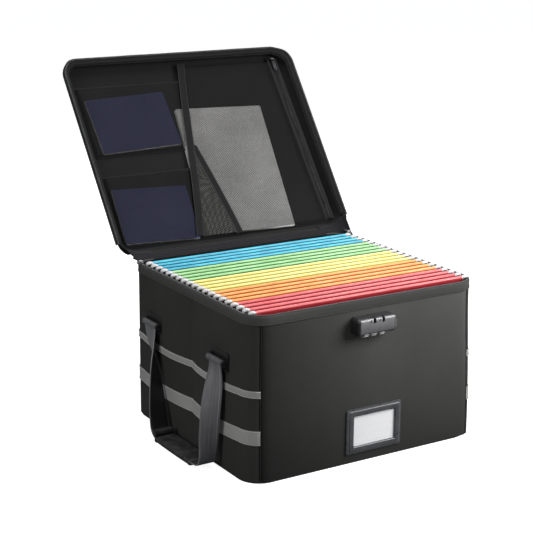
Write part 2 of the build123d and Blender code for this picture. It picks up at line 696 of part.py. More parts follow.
def left_outline(bottom, top, inset, rise):
    """Plan of a left pocket between its bottom seam and its open top."""
    Polyline(
        (-POCKET_SIDE_X + inset, bottom + inset),
        (seam_x(bottom) - SEAM_GAP - inset, bottom + inset),
        (seam_x(top) - SEAM_GAP - inset, top + rise),
        (-POCKET_SIDE_X + inset, top + rise),
        close=True,
    )


with BuildPart() as mesh_pockets_left:
    for bottom, top in ((POCKET_BOTTOM_V, LOWER_POCKET_TOP_V), (UPPER_POCKET_BOTTOM_V, UPPER_POCKET_TOP_V)):
        with BuildSketch(lid_plane.offset(LINING_FACE)):
            with BuildLine():
                left_outline(bottom, top, 0, 0)
            make_face()
            tray_section(LINING_FACE, LINING_INSET, Mode.INTERSECT)
        extrude(amount=POCKET_DEPTH)
        with BuildSketch(lid_plane.offset(LINING_FACE)):
            with BuildLine():
                left_outline(bottom, top, MESH, MESH)
            make_face()
            tray_section(LINING_FACE, LINING_INSET + MESH, Mode.INTERSECT)
        extrude(amount=POCKET_DEPTH - MESH, mode=Mode.SUBTRACT)
finish(mesh_pockets_left, "mesh_pockets_left")


def right_outline(inset):
    """Plan of the right pocket, which is closed all round and entered through its zip."""
    Polyline(
        (seam_x(POCKET_BOTTOM_V) + inset, POCKET_BOTTOM_V + inset),
        (RIGHT_POCKET_SIDE_X - inset, POCKET_BOTTOM_V + inset),
        (RIGHT_POCKET_SIDE_X - inset, RIGHT_POCKET_TOP_V - inset),
        (SEAM_TOP_X + inset, RIGHT_POCKET_TOP_V - inset),
        (SEAM_TOP_X + inset, UPPER_POCKET_BOTTOM_V),
        close=True,
    )


with BuildPart() as mesh_pocket_right:
    with BuildSketch(lid_plane.offset(LINING_FACE)):
        with BuildLine():
            right_outline(0)
        make_face()
        tray_section(LINING_FACE, LINING_INSET, Mode.INTERSECT)
    extrude(amount=POCKET_DEPTH)
    with BuildSketch(lid_plane.offset(LINING_FACE)):
        with BuildLine():
            right_outline(MESH)
        make_face()
        tray_section(LINING_FACE, LINING_INSET + MESH, Mode.INTERSECT)
    extrude(amount=POCKET_DEPTH - MESH, mode=Mode.SUBTRACT)
finish(mesh_pocket_right, "mesh_pocket_right")


def band_outline(ends, width):
    """Plan of a straight band whose ends are cut level with the hinge."""
    top, bottom = ends
    Polyline(
        (top[0] - width / 2, top[1]),
        (top[0] + width / 2, top[1]),
        (bottom[0] + width / 2, bottom[1]),
        (bottom[0] - width / 2, bottom[1]),
        close=True,
    )


with BuildPart() as pocket_bands:
    with BuildSketch(lid_plane.offset(MESH_FACE)):
        for ends, width in ((DIVIDER_ENDS, DIVIDER_WIDTH), (DIAGONAL_ENDS, DIAGONAL_WIDTH)):
            with BuildLine():
                band_outline(ends, width)
            make_face()
    extrude(amount=BAND)
finish(pocket_bands, "pocket_bands")

POCKET_CHAIN_BOTTOM = POCKET_BOTTOM_V + POCKET_CHAIN_MARGIN
POCKET_CHAIN_TOP = RIGHT_POCKET_TOP_V
with BuildPart() as pocket_zip_chain:
    with BuildSketch(lid_plane.offset(MESH_FACE)):
        with Locations((POCKET_CHAIN_X, (POCKET_CHAIN_BOTTOM + POCKET_CHAIN_TOP) / 2)):
            Rectangle(POCKET_CHAIN_WIDTH, POCKET_CHAIN_TOP - POCKET_CHAIN_BOTTOM)
    extrude(amount=POCKET_CHAIN_HEIGHT)
finish(pocket_zip_chain, "pocket_zip_chain")


def paper(place, thickness, radius):
    """A flat booklet lying in its pocket."""
    x, v, turn, width, length = place
    with BuildPart() as booklet:
        with BuildSketch(lid_plane.offset(LINING_FACE + PAPER_GAP)):
            with Locations((x, v)):
                RectangleRounded(width, length, radius, rotation=turn)
        extrude(amount=thickness)
    return booklet


finish(paper(UPPER_BOOKLET, BOOKLET_THICKNESS, BOOKLET_RADIUS), "booklet_upper")
finish(paper(LOWER_BOOKLET, BOOKLET_THICKNESS, BOOKLET_RADIUS), "booklet_lower")
finish(paper(NOTEBOOK, NOTEBOOK_THICKNESS, NOTEBOOK_RADIUS), "notebook")


# ---------------------------------------------------------------- zip sliders and pulls
def pivot_plane(base, chain_height):
    """Plane across the slider through the pull's pivot line, starting at the slider's middle."""
    height = GAP + chain_height + SLIDER_PLATE + PIVOT_BARREL + GAP
    return Plane(origin=base.origin + base.z_dir * height, x_dir=base.y_dir, z_dir=base.x_dir)


def zip_slider(base, chain_width, chain_height, length):
    """Slider straddling the chain, with two cheeks and the pin that carries the pull."""
    deck = GAP + chain_height + SLIDER_PLATE
    pivot = pivot_plane(base, chain_height)
    with BuildPart() as slider:
        with BuildSketch(base.offset(GAP)):
            RectangleRounded(SLIDER_WIDTH, length, SLIDER_WIDTH / 4)
        extrude(amount=chain_height + SLIDER_PLATE)
        with BuildSketch(base):
            Rectangle(chain_width + 2 * SLIDER_CLEAR, 2 * length)
        extrude(amount=chain_height + SLIDER_CLEAR, mode=Mode.SUBTRACT)
        with BuildSketch(base.offset(deck)):
            with GridLocations(CHEEK_SPACING + CHEEK, 1, 2, 1):
                Rectangle(CHEEK, 2 * PIVOT_BARREL)
        extrude(amount=2 * PIVOT_BARREL)
        with BuildSketch(pivot.offset(-CHEEK_SPACING / 2)):
            Circle(PIVOT_RADIUS)
        extrude(amount=CHEEK_SPACING)
    return slider


def zip_pull(base, chain_height):
    """Flat pull with a barrel round the slider's pin, lying along the base's Y direction."""
    pivot = pivot_plane(base, chain_height)
    plate = Plane(origin=pivot.origin, x_dir=base.x_dir, z_dir=base.z_dir).offset(-PULL_THICKNESS / 2)
    with BuildPart() as pull:
        with BuildSketch(plate):
            with Locations((0, PULL_LENGTH / 2)):
                RectangleRounded(PULL_WIDTH, PULL_LENGTH, PULL_WIDTH / 4)
            with Locations((0, PULL_LENGTH - PULL_WIDTH / 2)):
                Circle(PULL_HOLE, mode=Mode.SUBTRACT)
        extrude(amount=PULL_THICKNESS)
        with BuildSketch(pivot.offset(-PULL_WIDTH / 2)):
            Circle(PIVOT_BARREL)
        extrude(amount=PULL_WIDTH)
        with BuildSketch(pivot.offset(-PULL_WIDTH / 2)):
            Circle(PIVOT_RADIUS + PIVOT_CLEAR)
        extrude(amount=PULL_WIDTH, mode=Mode.SUBTRACT)
    return pull


CHAIN_X = CHAIN_OUTER_X - CHAIN_WIDTH / 2
for label, side in SIDES:
    rim_base = Plane(origin=(side * CHAIN_X, SLIDER_REST_Y, BOX_HEIGHT), x_dir=(1, 0, 0), z_dir=(0, 0, 1))
    finish(zip_slider(rim_base, CHAIN_WIDTH, CHAIN_HEIGHT, SLIDER_LENGTH), f"zip_slider_{label}")
    finish(zip_pull(rim_base, CHAIN_HEIGHT), f"zip_pull_{label}")

slider_mesh = lid_plane.offset(MESH_FACE)
slider_spot = slider_mesh.origin + slider_mesh.x_dir * POCKET_CHAIN_X + slider_mesh.y_dir * POCKET_SLIDER_REST_V
pocket_base = Plane(origin=slider_spot, x_dir=(-1, 0, 0), z_dir=lid_plane.z_dir)
pocket_slider = zip_slider(pocket_base, POCKET_CHAIN_WIDTH, POCKET_CHAIN_HEIGHT, POCKET_SLIDER_LENGTH)
finish(pocket_slider, "pocket_zip_slider")
finish(zip_pull(pocket_base, POCKET_CHAIN_HEIGHT), "pocket_zip_pull")


# ---------------------------------------------------------------- handles
def off_wall(side, distance):
    """X of a point at a distance outwards from a side wall."""
    return side * (HALF_WIDTH + distance)


SLEEVE_HOLE = PIN_RADIUS + PIN_CLEAR
EAR = (ANCHOR_WIDTH - SLEEVE_LENGTH) / 2 - SLEEVE_GAP
for label, side in SIDES:
    with BuildPart() as anchors:
        for end in (-1, 1):
            mid_y = end * ANCHOR_SPACING / 2
            wall_plane = Plane(origin=(side * HALF_WIDTH, mid_y, ANCHOR_Z), x_dir=(0, 1, 0), z_dir=(side, 0, 0))
            with BuildSketch(wall_plane):
                RectangleRounded(ANCHOR_WIDTH, ANCHOR_HEIGHT, EAR)
            extrude(amount=ANCHOR_FACE)
            for ear in (-1, 1):
                ear_y = mid_y + ear * (ANCHOR_WIDTH - EAR) / 2
                with BuildSketch(Plane.XZ.offset(-ear_y - EAR / 2)):
                    with Locations((off_wall(side, PIN_OFF / 2), ANCHOR_Z)):
                        Rectangle(PIN_OFF, 2 * SLEEVE_RADIUS)
                    with Locations((off_wall(side, PIN_OFF), ANCHOR_Z)):
                        Circle(SLEEVE_RADIUS)
                extrude(amount=EAR)
            with BuildSketch(Plane.XZ.offset(-mid_y - ANCHOR_WIDTH / 2)):
                with Locations((off_wall(side, PIN_OFF), ANCHOR_Z)):
                    Circle(PIN_RADIUS)
            extrude(amount=ANCHOR_WIDTH)
        with BuildSketch(Plane.XY):
            with BuildLine():
                side_outline(side)
                Line(corner_point(side, 1, SEAM_ANGLE), corner_point(side, -1, SEAM_ANGLE))
            make_face()
        extrude(amount=BOX_HEIGHT, mode=Mode.SUBTRACT)
    finish(anchors, f"handle_anchors_{label}")

    with BuildPart() as buckles:
        for end in (-1, 1):
            sleeve_start = -end * ANCHOR_SPACING / 2 - SLEEVE_LENGTH / 2
            with BuildSketch(Plane.XZ.offset(sleeve_start)):
                with Locations((off_wall(side, PIN_OFF), ANCHOR_Z)):
                    Circle(SLEEVE_RADIUS)
                    Circle(SLEEVE_HOLE, mode=Mode.SUBTRACT)
            extrude(amount=SLEEVE_LENGTH)
    finish(buckles, f"handle_buckles_{label}")

# Webbing: a flat tab hangs from each sleeve, twists a quarter turn, and runs into a ribbon that goes
# down, along and up in the YZ plane.
loop_mid = [LOOP_FRONT_TOP, LOOP_FRONT_BOTTOM, LOOP_REAR_BOTTOM, LOOP_REAR_TOP]
ribbon_ends = (
    (-ANCHOR_SPACING / 2, LOOP_FRONT_TOP, LOOP_FRONT_BOTTOM),
    (ANCHOR_SPACING / 2, LOOP_REAR_TOP, LOOP_REAR_BOTTOM),
)


def twist_plane(side, tab_y, ribbon_top, ribbon_next, share):
    """Plane across the webbing between the foot of a hanging tab and the end of the ribbon, where it
    has made a share of its quarter turn."""
    start = Vector(off_wall(side, PIN_OFF), tab_y, LOOP_TAB_Z)
    stop = Vector(off_wall(side, LOOP_OFF), *ribbon_top)
    stop_way = Vector(0, ribbon_next[0] - ribbon_top[0], ribbon_next[1] - ribbon_top[1]).normalized()
    way = (Vector(0, 0, -1) * (1 - share) + stop_way * share).normalized()
    level = way.cross(Vector(1, 0, 0))
    across = level * cos(radians(90 * share)) + Vector(1, 0, 0) * sin(radians(90 * share))
    return Plane(origin=start + (stop - start) * share, x_dir=across, z_dir=way)


for label, side in SIDES:
    with BuildPart() as webbing:
        with BuildSketch(Plane.YZ.offset(off_wall(side, LOOP_OFF) - WEBBING_FOLDED / 2)):
            with BuildLine():
                FilletPolyline(*loop_mid, radius=LOOP_CORNER)
                offset(amount=WEBBING / 2, side=Side.BOTH)
            make_face()
        extrude(amount=WEBBING_FOLDED)
        for tab_y, ribbon_top, ribbon_next in ribbon_ends:
            tab_plane = Plane.XY.offset(LOOP_TAB_Z)
            with BuildSketch(tab_plane):
                with Locations((off_wall(side, PIN_OFF), tab_y)):
                    Rectangle(WEBBING, WEBBING_WIDTH)
            extrude(amount=ANCHOR_Z - LOOP_TAB_Z)
            with BuildSketch(Plane.XZ.offset(-tab_y - WEBBING_WIDTH)):
                with Locations((off_wall(side, PIN_OFF), ANCHOR_Z)):
                    Circle(SLEEVE_RADIUS)
            extrude(amount=2 * WEBBING_WIDTH, mode=Mode.SUBTRACT)
            for step in range(TWIST_STEPS + 1):
                share = step / TWIST_STEPS
                with BuildSketch(twist_plane(side, tab_y, ribbon_top, ribbon_next, share)):
                    Rectangle(WEBBING_WIDTH + share * (WEBBING_FOLDED - WEBBING_WIDTH), WEBBING)
            loft(ruled=True)
    finish(webbing, f"handle_{label}")

    with BuildPart() as grip:
        with BuildSketch(Plane.XZ.offset(-GRIP_REAR_Y)):
            with Locations((off_wall(side, LOOP_OFF), LOOP_FRONT_BOTTOM[1])):
                RectangleRounded(GRIP_WIDTH, GRIP_THICKNESS, GRIP_ROUND)
                Rectangle(WEBBING_FOLDED, WEBBING, mode=Mode.SUBTRACT)
        extrude(amount=GRIP_REAR_Y - GRIP_FRONT_Y)
    finish(grip, f"handle_grip_{label}")

# ---------------------------------------------------------------- label holder
PANE_BACK = CARD_BACK + CARD_THICKNESS + 2 * CARD_CLEAR
BEZEL_BACK = PANE_BACK + PANE_THICKNESS
CARD_BOTTOM = LABEL_Z - CARD_HEIGHT / 2
with BuildPart() as label_frame:
    with BuildSketch(front_face):
        with Locations((LABEL_X, LABEL_Z)):
            RectangleRounded(LABEL_WIDTH, LABEL_HEIGHT, LABEL_ROUND)
    extrude(amount=LABEL_BASE)
    with BuildSketch(front_face.offset(LABEL_BASE)):
        with Locations((LABEL_X, LABEL_Z)):
            RectangleRounded(LABEL_WIDTH - 2 * LABEL_STEP, LABEL_HEIGHT - 2 * LABEL_STEP, LABEL_ROUND)
    extrude(amount=LABEL_RISE)
    with BuildSketch(front_face.offset(CARD_BACK)):
        with Locations((LABEL_X, CARD_BOTTOM - CARD_CLEAR + LABEL_HEIGHT / 2)):
            Rectangle(CARD_WIDTH + 2 * GAP, LABEL_HEIGHT)
    extrude(amount=CARD_THICKNESS + 2 * CARD_CLEAR, mode=Mode.SUBTRACT)
    with BuildSketch(front_face.offset(PANE_BACK)):
        with Locations((LABEL_X, LABEL_Z)):
            Rectangle(WINDOW_WIDTH + 2 * PANE_BORDER, WINDOW_HEIGHT + 2 * PANE_BORDER)
    extrude(amount=PANE_THICKNESS, mode=Mode.SUBTRACT)
    with BuildSketch(front_face.offset(BEZEL_BACK)):
        with Locations((LABEL_X, LABEL_Z)):
            Rectangle(WINDOW_WIDTH, WINDOW_HEIGHT)
    extrude(amount=LABEL_BASE + LABEL_RISE, mode=Mode.SUBTRACT)
finish(label_frame, "label_frame")

with BuildPart() as label_window:
    with BuildSketch(front_face.offset(PANE_BACK)):
        with Locations((LABEL_X, LABEL_Z)):
            Rectangle(WINDOW_WIDTH + 2 * PANE_BORDER, WINDOW_HEIGHT + 2 * PANE_BORDER)
    extrude(amount=PANE_THICKNESS)
finish(label_window, "label_window")

with BuildPart() as label_card:
    with BuildSketch(front_face.offset(CARD_BACK + CARD_CLEAR)):
        with Locations((LABEL_X, LABEL_Z)):
            Rectangle(CARD_WIDTH, CARD_HEIGHT)
    extrude(amount=CARD_THICKNESS)
finish(label_card, "label_card")

# ---------------------------------------------------------------- combination lock
LOCK_LEFT = LOCK_X - LOCK_WIDTH / 2
LOCK_RIGHT = LOCK_X + LOCK_WIDTH / 2
LOCK_TOP = LOCK_Z + LOCK_HEIGHT / 2
LOCK_BOTTOM = LOCK_Z - LOCK_HEIGHT / 2
DIAL_Y = -HALF_DEPTH - LOCK_DEPTH + DIAL_INSET
DIAL_Z = LOCK_BOTTOM + DIAL_RAISE
DIAL_MID_X = LOCK_X + DIAL_ROW_OFFSET
RIB_X = LOCK_X + RIB_OFFSET
BUTTON_Y = -HALF_DEPTH - LOCK_DEPTH / 2
BUTTON_Z = LOCK_Z - BUTTON_DROP
dial_places = [DIAL_MID_X + (number - (DIAL_COUNT - 1) / 2) * DIAL_PITCH for number in range(DIAL_COUNT)]


def lengthwise(x):
    """Plane across X, for the lock's dials, spindle and button: its sketch X is Y and its sketch Y is Z."""
    return Plane.YZ.offset(x)


with BuildPart() as lock_housing:
    with BuildSketch(front_face):
        with Locations((LOCK_X, LOCK_Z)):
            Rectangle(LOCK_WIDTH, LOCK_HEIGHT)
    extrude(amount=LOCK_DEPTH)
    front_ring = lock_housing.faces().sort_by(Axis.Y)[0].edges()
    long_edges = lock_housing.edges().filter_by(Axis.Y)
    fillet(front_ring + long_edges, LOCK_EDGE)
    with BuildSketch(front_face):
        with Locations((LOCK_X, LOCK_Z)):
            RectangleRounded(LOCK_WIDTH - 2 * LOCK_WALL, LOCK_HEIGHT - 2 * LOCK_WALL, LOCK_EDGE - LOCK_WALL)
    extrude(amount=LOCK_DEPTH - LOCK_WALL, mode=Mode.SUBTRACT)
    with BuildSketch(lengthwise(RIB_X)):
        with Locations((-HALF_DEPTH - LOCK_DEPTH / 2, LOCK_Z)):
            Rectangle(LOCK_DEPTH - 2 * LOCK_WALL, LOCK_HEIGHT - 2 * LOCK_WALL)
    extrude(amount=RIB_THICKNESS)
    with BuildSketch(front_face):
        with Locations(screw_places):
            Circle(BOSS_RADIUS)
    extrude(amount=LOCK_DEPTH - LOCK_WALL)
    with BuildSketch(front_face):
        with Locations(screw_places):
            Circle(SCREW_RADIUS)
    extrude(amount=SCREW_REACH, mode=Mode.SUBTRACT)
    for offset_x in SLOT_OFFSETS:
        with BuildSketch(front_face.offset(LOCK_DEPTH - SLOT_DEPTH)):
            with Locations((LOCK_X + offset_x, LOCK_TOP - SLOT_REACH + SLOT_WIDTH / 2)):
                Circle(SLOT_WIDTH / 2)
            with Locations((LOCK_X + offset_x, LOCK_TOP - SLOT_REACH / 2 + SLOT_WIDTH / 4)):
                Rectangle(SLOT_WIDTH, SLOT_REACH - SLOT_WIDTH / 2)
        extrude(amount=SLOT_DEPTH, mode=Mode.SUBTRACT)
    for dial_x in dial_places:
        with BuildSketch(lengthwise(dial_x - DIAL_WIDTH / 2 - DIAL_CLEAR)):
            with Locations((DIAL_Y, DIAL_Z)):
                Circle(DIAL_RADIUS + DIAL_CLEAR)
        extrude(amount=DIAL_WIDTH + 2 * DIAL_CLEAR, mode=Mode.SUBTRACT)
    with BuildSketch(lengthwise(LOCK_LEFT + SPINDLE_SEAT)):
        with Locations((DIAL_Y, DIAL_Z)):
            Circle(SPINDLE_RADIUS)
    extrude(amount=RIB_X + RIB_THICKNESS - LOCK_LEFT - SPINDLE_SEAT, mode=Mode.SUBTRACT)
    with BuildSketch(lengthwise(LOCK_RIGHT - 2 * LOCK_WALL)):
        with Locations((BUTTON_Y, BUTTON_Z)):
            Rectangle(BUTTON_DEPTH + 2 * BUTTON_CLEAR, BUTTON_HEIGHT + 2 * BUTTON_CLEAR)
    extrude(amount=3 * LOCK_WALL, mode=Mode.SUBTRACT)
finish(lock_housing, "lock_housing")

with BuildPart() as lock_spindle:
    with BuildSketch(lengthwise(LOCK_LEFT + SPINDLE_SEAT)):
        with Locations((DIAL_Y, DIAL_Z)):
            Circle(SPINDLE_RADIUS)
    extrude(amount=RIB_X + RIB_THICKNESS - LOCK_LEFT - SPINDLE_SEAT)
finish(lock_spindle, "lock_spindle")

for number, dial_x in enumerate(dial_places):
    with BuildPart() as dial:
        with BuildSketch(lengthwise(dial_x - DIAL_WIDTH / 2)):
            with Locations((DIAL_Y, DIAL_Z)):
                Circle(DIAL_RADIUS)
                Circle(SPINDLE_RADIUS + SPINDLE_CLEAR, mode=Mode.SUBTRACT)
                with PolarLocations(DIAL_RADIUS, DIAL_NOTCHES):
                    Circle(DIAL_NOTCH_RADIUS, mode=Mode.SUBTRACT)
        extrude(amount=DIAL_WIDTH)
    finish(dial, f"lock_dial_{number + 1}")

with BuildPart() as lock_button:
    with BuildSketch(lengthwise(LOCK_RIGHT - 2 * LOCK_WALL)):
        with Locations((BUTTON_Y, BUTTON_Z)):
            Rectangle(BUTTON_DEPTH, BUTTON_HEIGHT)
    extrude(amount=2 * LOCK_WALL + BUTTON_PROUD - BUTTON_RIB)
    with BuildSketch(lengthwise(LOCK_RIGHT - 2 * LOCK_WALL)):
        with Locations((BUTTON_Y, BUTTON_Z)):
            Rectangle(BUTTON_DEPTH + 2 * BUTTON_FLANGE, BUTTON_HEIGHT + 2 * BUTTON_FLANGE)
    extrude(amount=LOCK_WALL - BUTTON_CLEAR)
    with BuildSketch(lengthwise(LOCK_RIGHT + BUTTON_PROUD - BUTTON_RIB)):
        with Locations((BUTTON_Y, BUTTON_Z)):
            with GridLocations(1, BUTTON_HEIGHT / BUTTON_RIB_COUNT, 1, BUTTON_RIB_COUNT):
                Rectangle(BUTTON_DEPTH, BUTTON_HEIGHT / BUTTON_RIB_COUNT / 2)
    extrude(amount=BUTTON_RIB)
finish(lock_button, "lock_button")

with BuildPart() as lock_screws:
    with BuildSketch(front_face):
        with Locations(screw_places):
            Circle(SCREW_RADIUS)
    extrude(amount=SCREW_REACH)
    with BuildSketch(front_face.offset(-WALL)):
        with Locations(screw_places):
            Circle(SCREW_RADIUS)
    extrude(amount=WALL)
    with BuildSketch(front_face.offset(-WALL - SCREW_HEAD)):
        with Locations(screw_places):
            Circle(SCREW_HEAD_RADIUS)
    extrude(amount=SCREW_HEAD)
finish(lock_screws, "lock_screws")
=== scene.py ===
import functools
import math

import bpy
from mathutils import Matrix, Vector, noise


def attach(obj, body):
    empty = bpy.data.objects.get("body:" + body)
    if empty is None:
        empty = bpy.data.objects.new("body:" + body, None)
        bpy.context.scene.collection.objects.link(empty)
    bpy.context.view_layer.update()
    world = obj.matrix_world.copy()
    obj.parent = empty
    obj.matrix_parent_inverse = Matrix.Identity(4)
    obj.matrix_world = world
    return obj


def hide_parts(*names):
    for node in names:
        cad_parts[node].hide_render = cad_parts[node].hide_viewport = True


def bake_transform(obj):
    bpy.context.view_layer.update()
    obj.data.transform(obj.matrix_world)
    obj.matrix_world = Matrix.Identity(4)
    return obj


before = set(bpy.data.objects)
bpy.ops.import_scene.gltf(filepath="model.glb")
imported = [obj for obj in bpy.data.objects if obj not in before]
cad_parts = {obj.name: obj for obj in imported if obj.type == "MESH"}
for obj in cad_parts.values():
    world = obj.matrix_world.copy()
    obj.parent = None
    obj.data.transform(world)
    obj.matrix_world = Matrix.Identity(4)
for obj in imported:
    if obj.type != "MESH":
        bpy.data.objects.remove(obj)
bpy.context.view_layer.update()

MM = 0.001

# ---------------------------------------------------------------- sizes of the object, millimetres
HALF_X, HALF_Y, HEIGHT = 200.0, 181.0, 248.0
CORNER = 34.0
SEAM = 28.0  # degrees round a corner, from the front or rear wall, where the walls are sewn together
PANEL_LOW, PANEL_HIGH = 1.4, 235.5
FOLD_HALF, FOLD_DEEP, FOLD_Y = 6.0, 1.5, -10.5
SWELL_LEAST, SWELL_MORE = 0.7, 7.2
CLOTH_THICK = 1.1
GREY_STRIPS = ((57.5, 79.0), (128.0, 138.5))  # low and high edge
WALL_INNER_X, WALL_INNER_Y = 194.5, 175.5
LID_ANGLE = math.radians(128.0)
LID_TOP_LEVEL, LID_RIM_LEVEL = -21.0, 5.0
LID_EDGE = LID_RIM_LEVEL - 1.2  # where the lid's cloth ends, under its binding
LID_LENGTH = 365.0
LID_FACE = (203.0, 28.0, LID_LENGTH, 26.0)  # half width, low edge, high edge and corner of the lid's face
LID_FLARE = (16.0, -27.0, 2.5, 6.0)  # what each of them gains at the rim
LINING_LEVEL, MESH_LEVEL = -15.8, -8.7
LINING_OFF, LINING_CORNER, NET_OFF = 2.4, 24.0, 0.6
NOTCH_V, NOTCH_LEVEL, NOTCH_X = 27.0, -8.0, 204.0
BEAD_HALF, BEAD_RADIUS = 165.0, 1.25
GROOVE_HALF, GROOVE_DEEP = 166.5, 2.4
ANCHOR_Y, ANCHOR_Z = 100.0, 168.0
SIDES = (("left", -1), ("right", 1))
UP = Vector((0, 0, 1))


# ---------------------------------------------------------------- node materials
def colour(code):
    """Linear colour of an sRGB hex code."""
    parts = [int(code[i : i + 2], 16) / 255 for i in (0, 2, 4)]
    return [c / 12.92 if c <= 0.04045 else ((c + 0.055) / 1.055) ** 2.4 for c in parts] + [1.0]


class Shader:
    """A material's node tree with one Principled shader."""

    def __init__(self, name):
        self.material = bpy.data.materials.new(name)
        self.material.use_nodes = True
        self.tree = self.material.node_tree

    def feed(self, node, inputs):
        """Link or set a node's inputs. A string is a hex code of a colour."""
        for key, value in inputs.items():
            if isinstance(value, bpy.types.NodeSocket):
                self.tree.links.new(value, node.inputs[key])
            else:
                node.inputs[key].default_value = colour(value) if isinstance(value, str) else value

    def add(self, kind, inputs=(), output=0, **settings):
        """Add a node and give back one of its outputs."""
        node = self.tree.nodes.new("ShaderNode" + kind)
        for key, value in settings.items():
            setattr(node, key, value)
        self.feed(node, dict(inputs))
        return node.outputs[output]

    def finish(self, **inputs):
        self.feed(self.tree.nodes["Principled BSDF"], {key.replace("_", " "): value for key, value in inputs.items()})
        return self.material

    def place(self, kind="Object"):
        return self.add("TexCoord", output=kind)

    def axis(self, place, index):
        return self.add("SeparateXYZ", {0: place}, index)

    def turned(self, place, degrees=0.0, scale=(1, 1, 1)):
        return self.add("Mapping", {"Vector": place, "Rotation": (0, 0, math.radians(degrees)), "Scale": scale})

    def bands(self, place, width, direction="X"):
        """Stripes a given width apart, in metres."""
        inputs = {"Vector": place, "Scale": math.tau / 20 / width, "Distortion": 0.0, "Detail": 0.0}
        return self.add("TexWave", inputs, "Fac", wave_type="BANDS", bands_direction=direction, wave_profile="SIN")

    def grain(self, place, scale, detail=2.0, roughness=0.5):
        inputs = {"Vector": place, "Scale": scale, "Detail": detail, "Roughness": roughness}
        return self.add("TexNoise", inputs, "Fac")

    def sums(self, operation, a, b=0.0, clamp=False):
        return self.add("Math", {0: a, 1: b}, operation=operation, use_clamp=clamp)

    def times(self, a, b):
        return self.sums("MULTIPLY", a, b)

    def weighed(self, a, share_a, b, share_b, clamp=False):
        return self.sums("ADD", self.times(a, share_a), self.times(b, share_b), clamp)

    def spread(self, value, low, high, to_low=0.0, to_high=1.0):
        inputs = {"Value": value, "From Min": low, "From Max": high, "To Min": to_low, "To Max": to_high}
        return self.add("MapRange", inputs)

    def blend(self, factor, a, b, mode="MIX"):
        return self.add("Mix", {0: factor, 6: a, 7: b}, 2, data_type="RGBA", blend_type=mode)

    def toned(self, tint, tone):
        """A colour made lighter or darker by a value."""
        return self.blend(1.0, tint, self.add("CombineColor", {0: tone, 1: tone, 2: tone}), "MULTIPLY")

    def uneven(self, tint, scale, low, high, roughness=0.6):
        """A colour with broad lighter and darker places."""
        return self.toned(tint, self.spread(self.grain(self.place(), scale, 3.0, roughness), 0.3, 0.7, low, high))

    def bump(self, height, depth, strength):
        return self.add("Bump", {"Height": height, "Distance": depth, "Strength": strength})


def woven(name, light, dark, thread=0.0013, flat=True, twill=True, sheen=0.05, rough=0.8, depth=0.00035, spots=0.5,
          gloss=0.12, painted_falloff=None):
    """Woven cloth: two sets of threads, a twill line, uneven dye and lint.

    The last option is (low x, high x, low z, high z, least share): painted shade that darkens the cloth towards the low
    ends.
    """
    s = Shader(name)
    place = s.place("UV" if flat else "Object")
    weave = s.weighed(s.bands(place, thread, "X"), 0.5, s.bands(place, thread, "Y" if flat else "Z"), 0.5)
    if twill:
        weave = s.weighed(weave, 0.45, s.bands(s.turned(place, 45.0), thread * 1.9), 0.55)
    fuzz = s.grain(place, 1300.0, 3.0)
    cloth = s.blend(s.weighed(weave, 0.75, fuzz, 0.35, True), dark, light)
    cloth = s.uneven(cloth, 9.0, 1.0 - 0.22 * spots, 1.0 + 0.1 * spots)
    # Painted shade: the cloth is made darker towards low x and low z.
    if painted_falloff:
        low_x, high_x, low_z, high_z, least = painted_falloff
        along = s.spread(s.axis(s.place(), 0), low_x, high_x, least, 1.0)
        cloth = s.toned(cloth, s.times(along, s.spread(s.axis(s.place(), 2), low_z, high_z, least, 1.0)))
    return s.finish(Base_Color=cloth, Roughness=s.spread(fuzz, 0.2, 0.8, rough - 0.06, min(1.0, rough + 0.1)),
                    Normal=s.bump(s.weighed(weave, 1.0, fuzz, 0.4), depth, 0.8), Sheen_Weight=sheen,
                    Sheen_Roughness=0.45, Specular_IOR_Level=gloss)


def ribbed(name, light, dark, rib=0.0014, across="Y", sheen=0.05, rough=0.62, gloss=0.15, satin=None):
    """Tape: ribs along the length and short cross threads.

    satin is for glossy webbing: its width in metres, how far a woven line is from either edge, and that line's colour.
    With it the webbing also takes streaks, partly yarn and partly painted sheen, and one face painted near black as
    shade.
    """
    s = Shader(name)
    place = s.place("UV")
    height = s.weighed(s.bands(place, rib, across), 0.7, s.bands(place, rib * 0.8, "Y" if across == "X" else "X"), 0.3)
    fuzz = s.grain(place, 1500.0, 2.0)
    cloth = s.blend(s.weighed(height, 0.7, fuzz, 0.4, True), dark, light)
    cloth = s.uneven(cloth, 14.0, 0.86, 1.06)
    if satin:
        width, edge, line = satin
        # Lighter and darker streaks along the webbing: partly yarn, partly painted satin sheen.
        yarn_and_sheen_streaks = s.grain(s.turned(place, 0.0, (1.0, 0.03, 1.0)), 420.0, 3.0, 0.7)
        cloth = s.toned(cloth, s.spread(yarn_and_sheen_streaks, 0.25, 0.75, 0.62, 1.42))
        side = s.axis(place, 0)
        off = s.sums("ABSOLUTE", s.sums("SUBTRACT", side, width))
        from_edge = s.sums("MINIMUM", off, s.sums("SUBTRACT", width, off))
        at_edge = s.spread(s.sums("ABSOLUTE", s.sums("SUBTRACT", from_edge, edge)), 0.0003, 0.0008, 1.0, 0.0)
        cloth = s.blend(at_edge, cloth, line)
        # The face past the first width is near black: painted shade on the strap's turned-away face.
        cloth = s.blend(s.spread(side, width - 0.0005, width, 1.0, 0.0), cloth, "161617")
    return s.finish(Base_Color=cloth, Roughness=rough, Normal=s.bump(height, 0.0004, 0.9), Sheen_Weight=sheen,
                    Sheen_Roughness=0.4, Specular_IOR_Level=gloss)


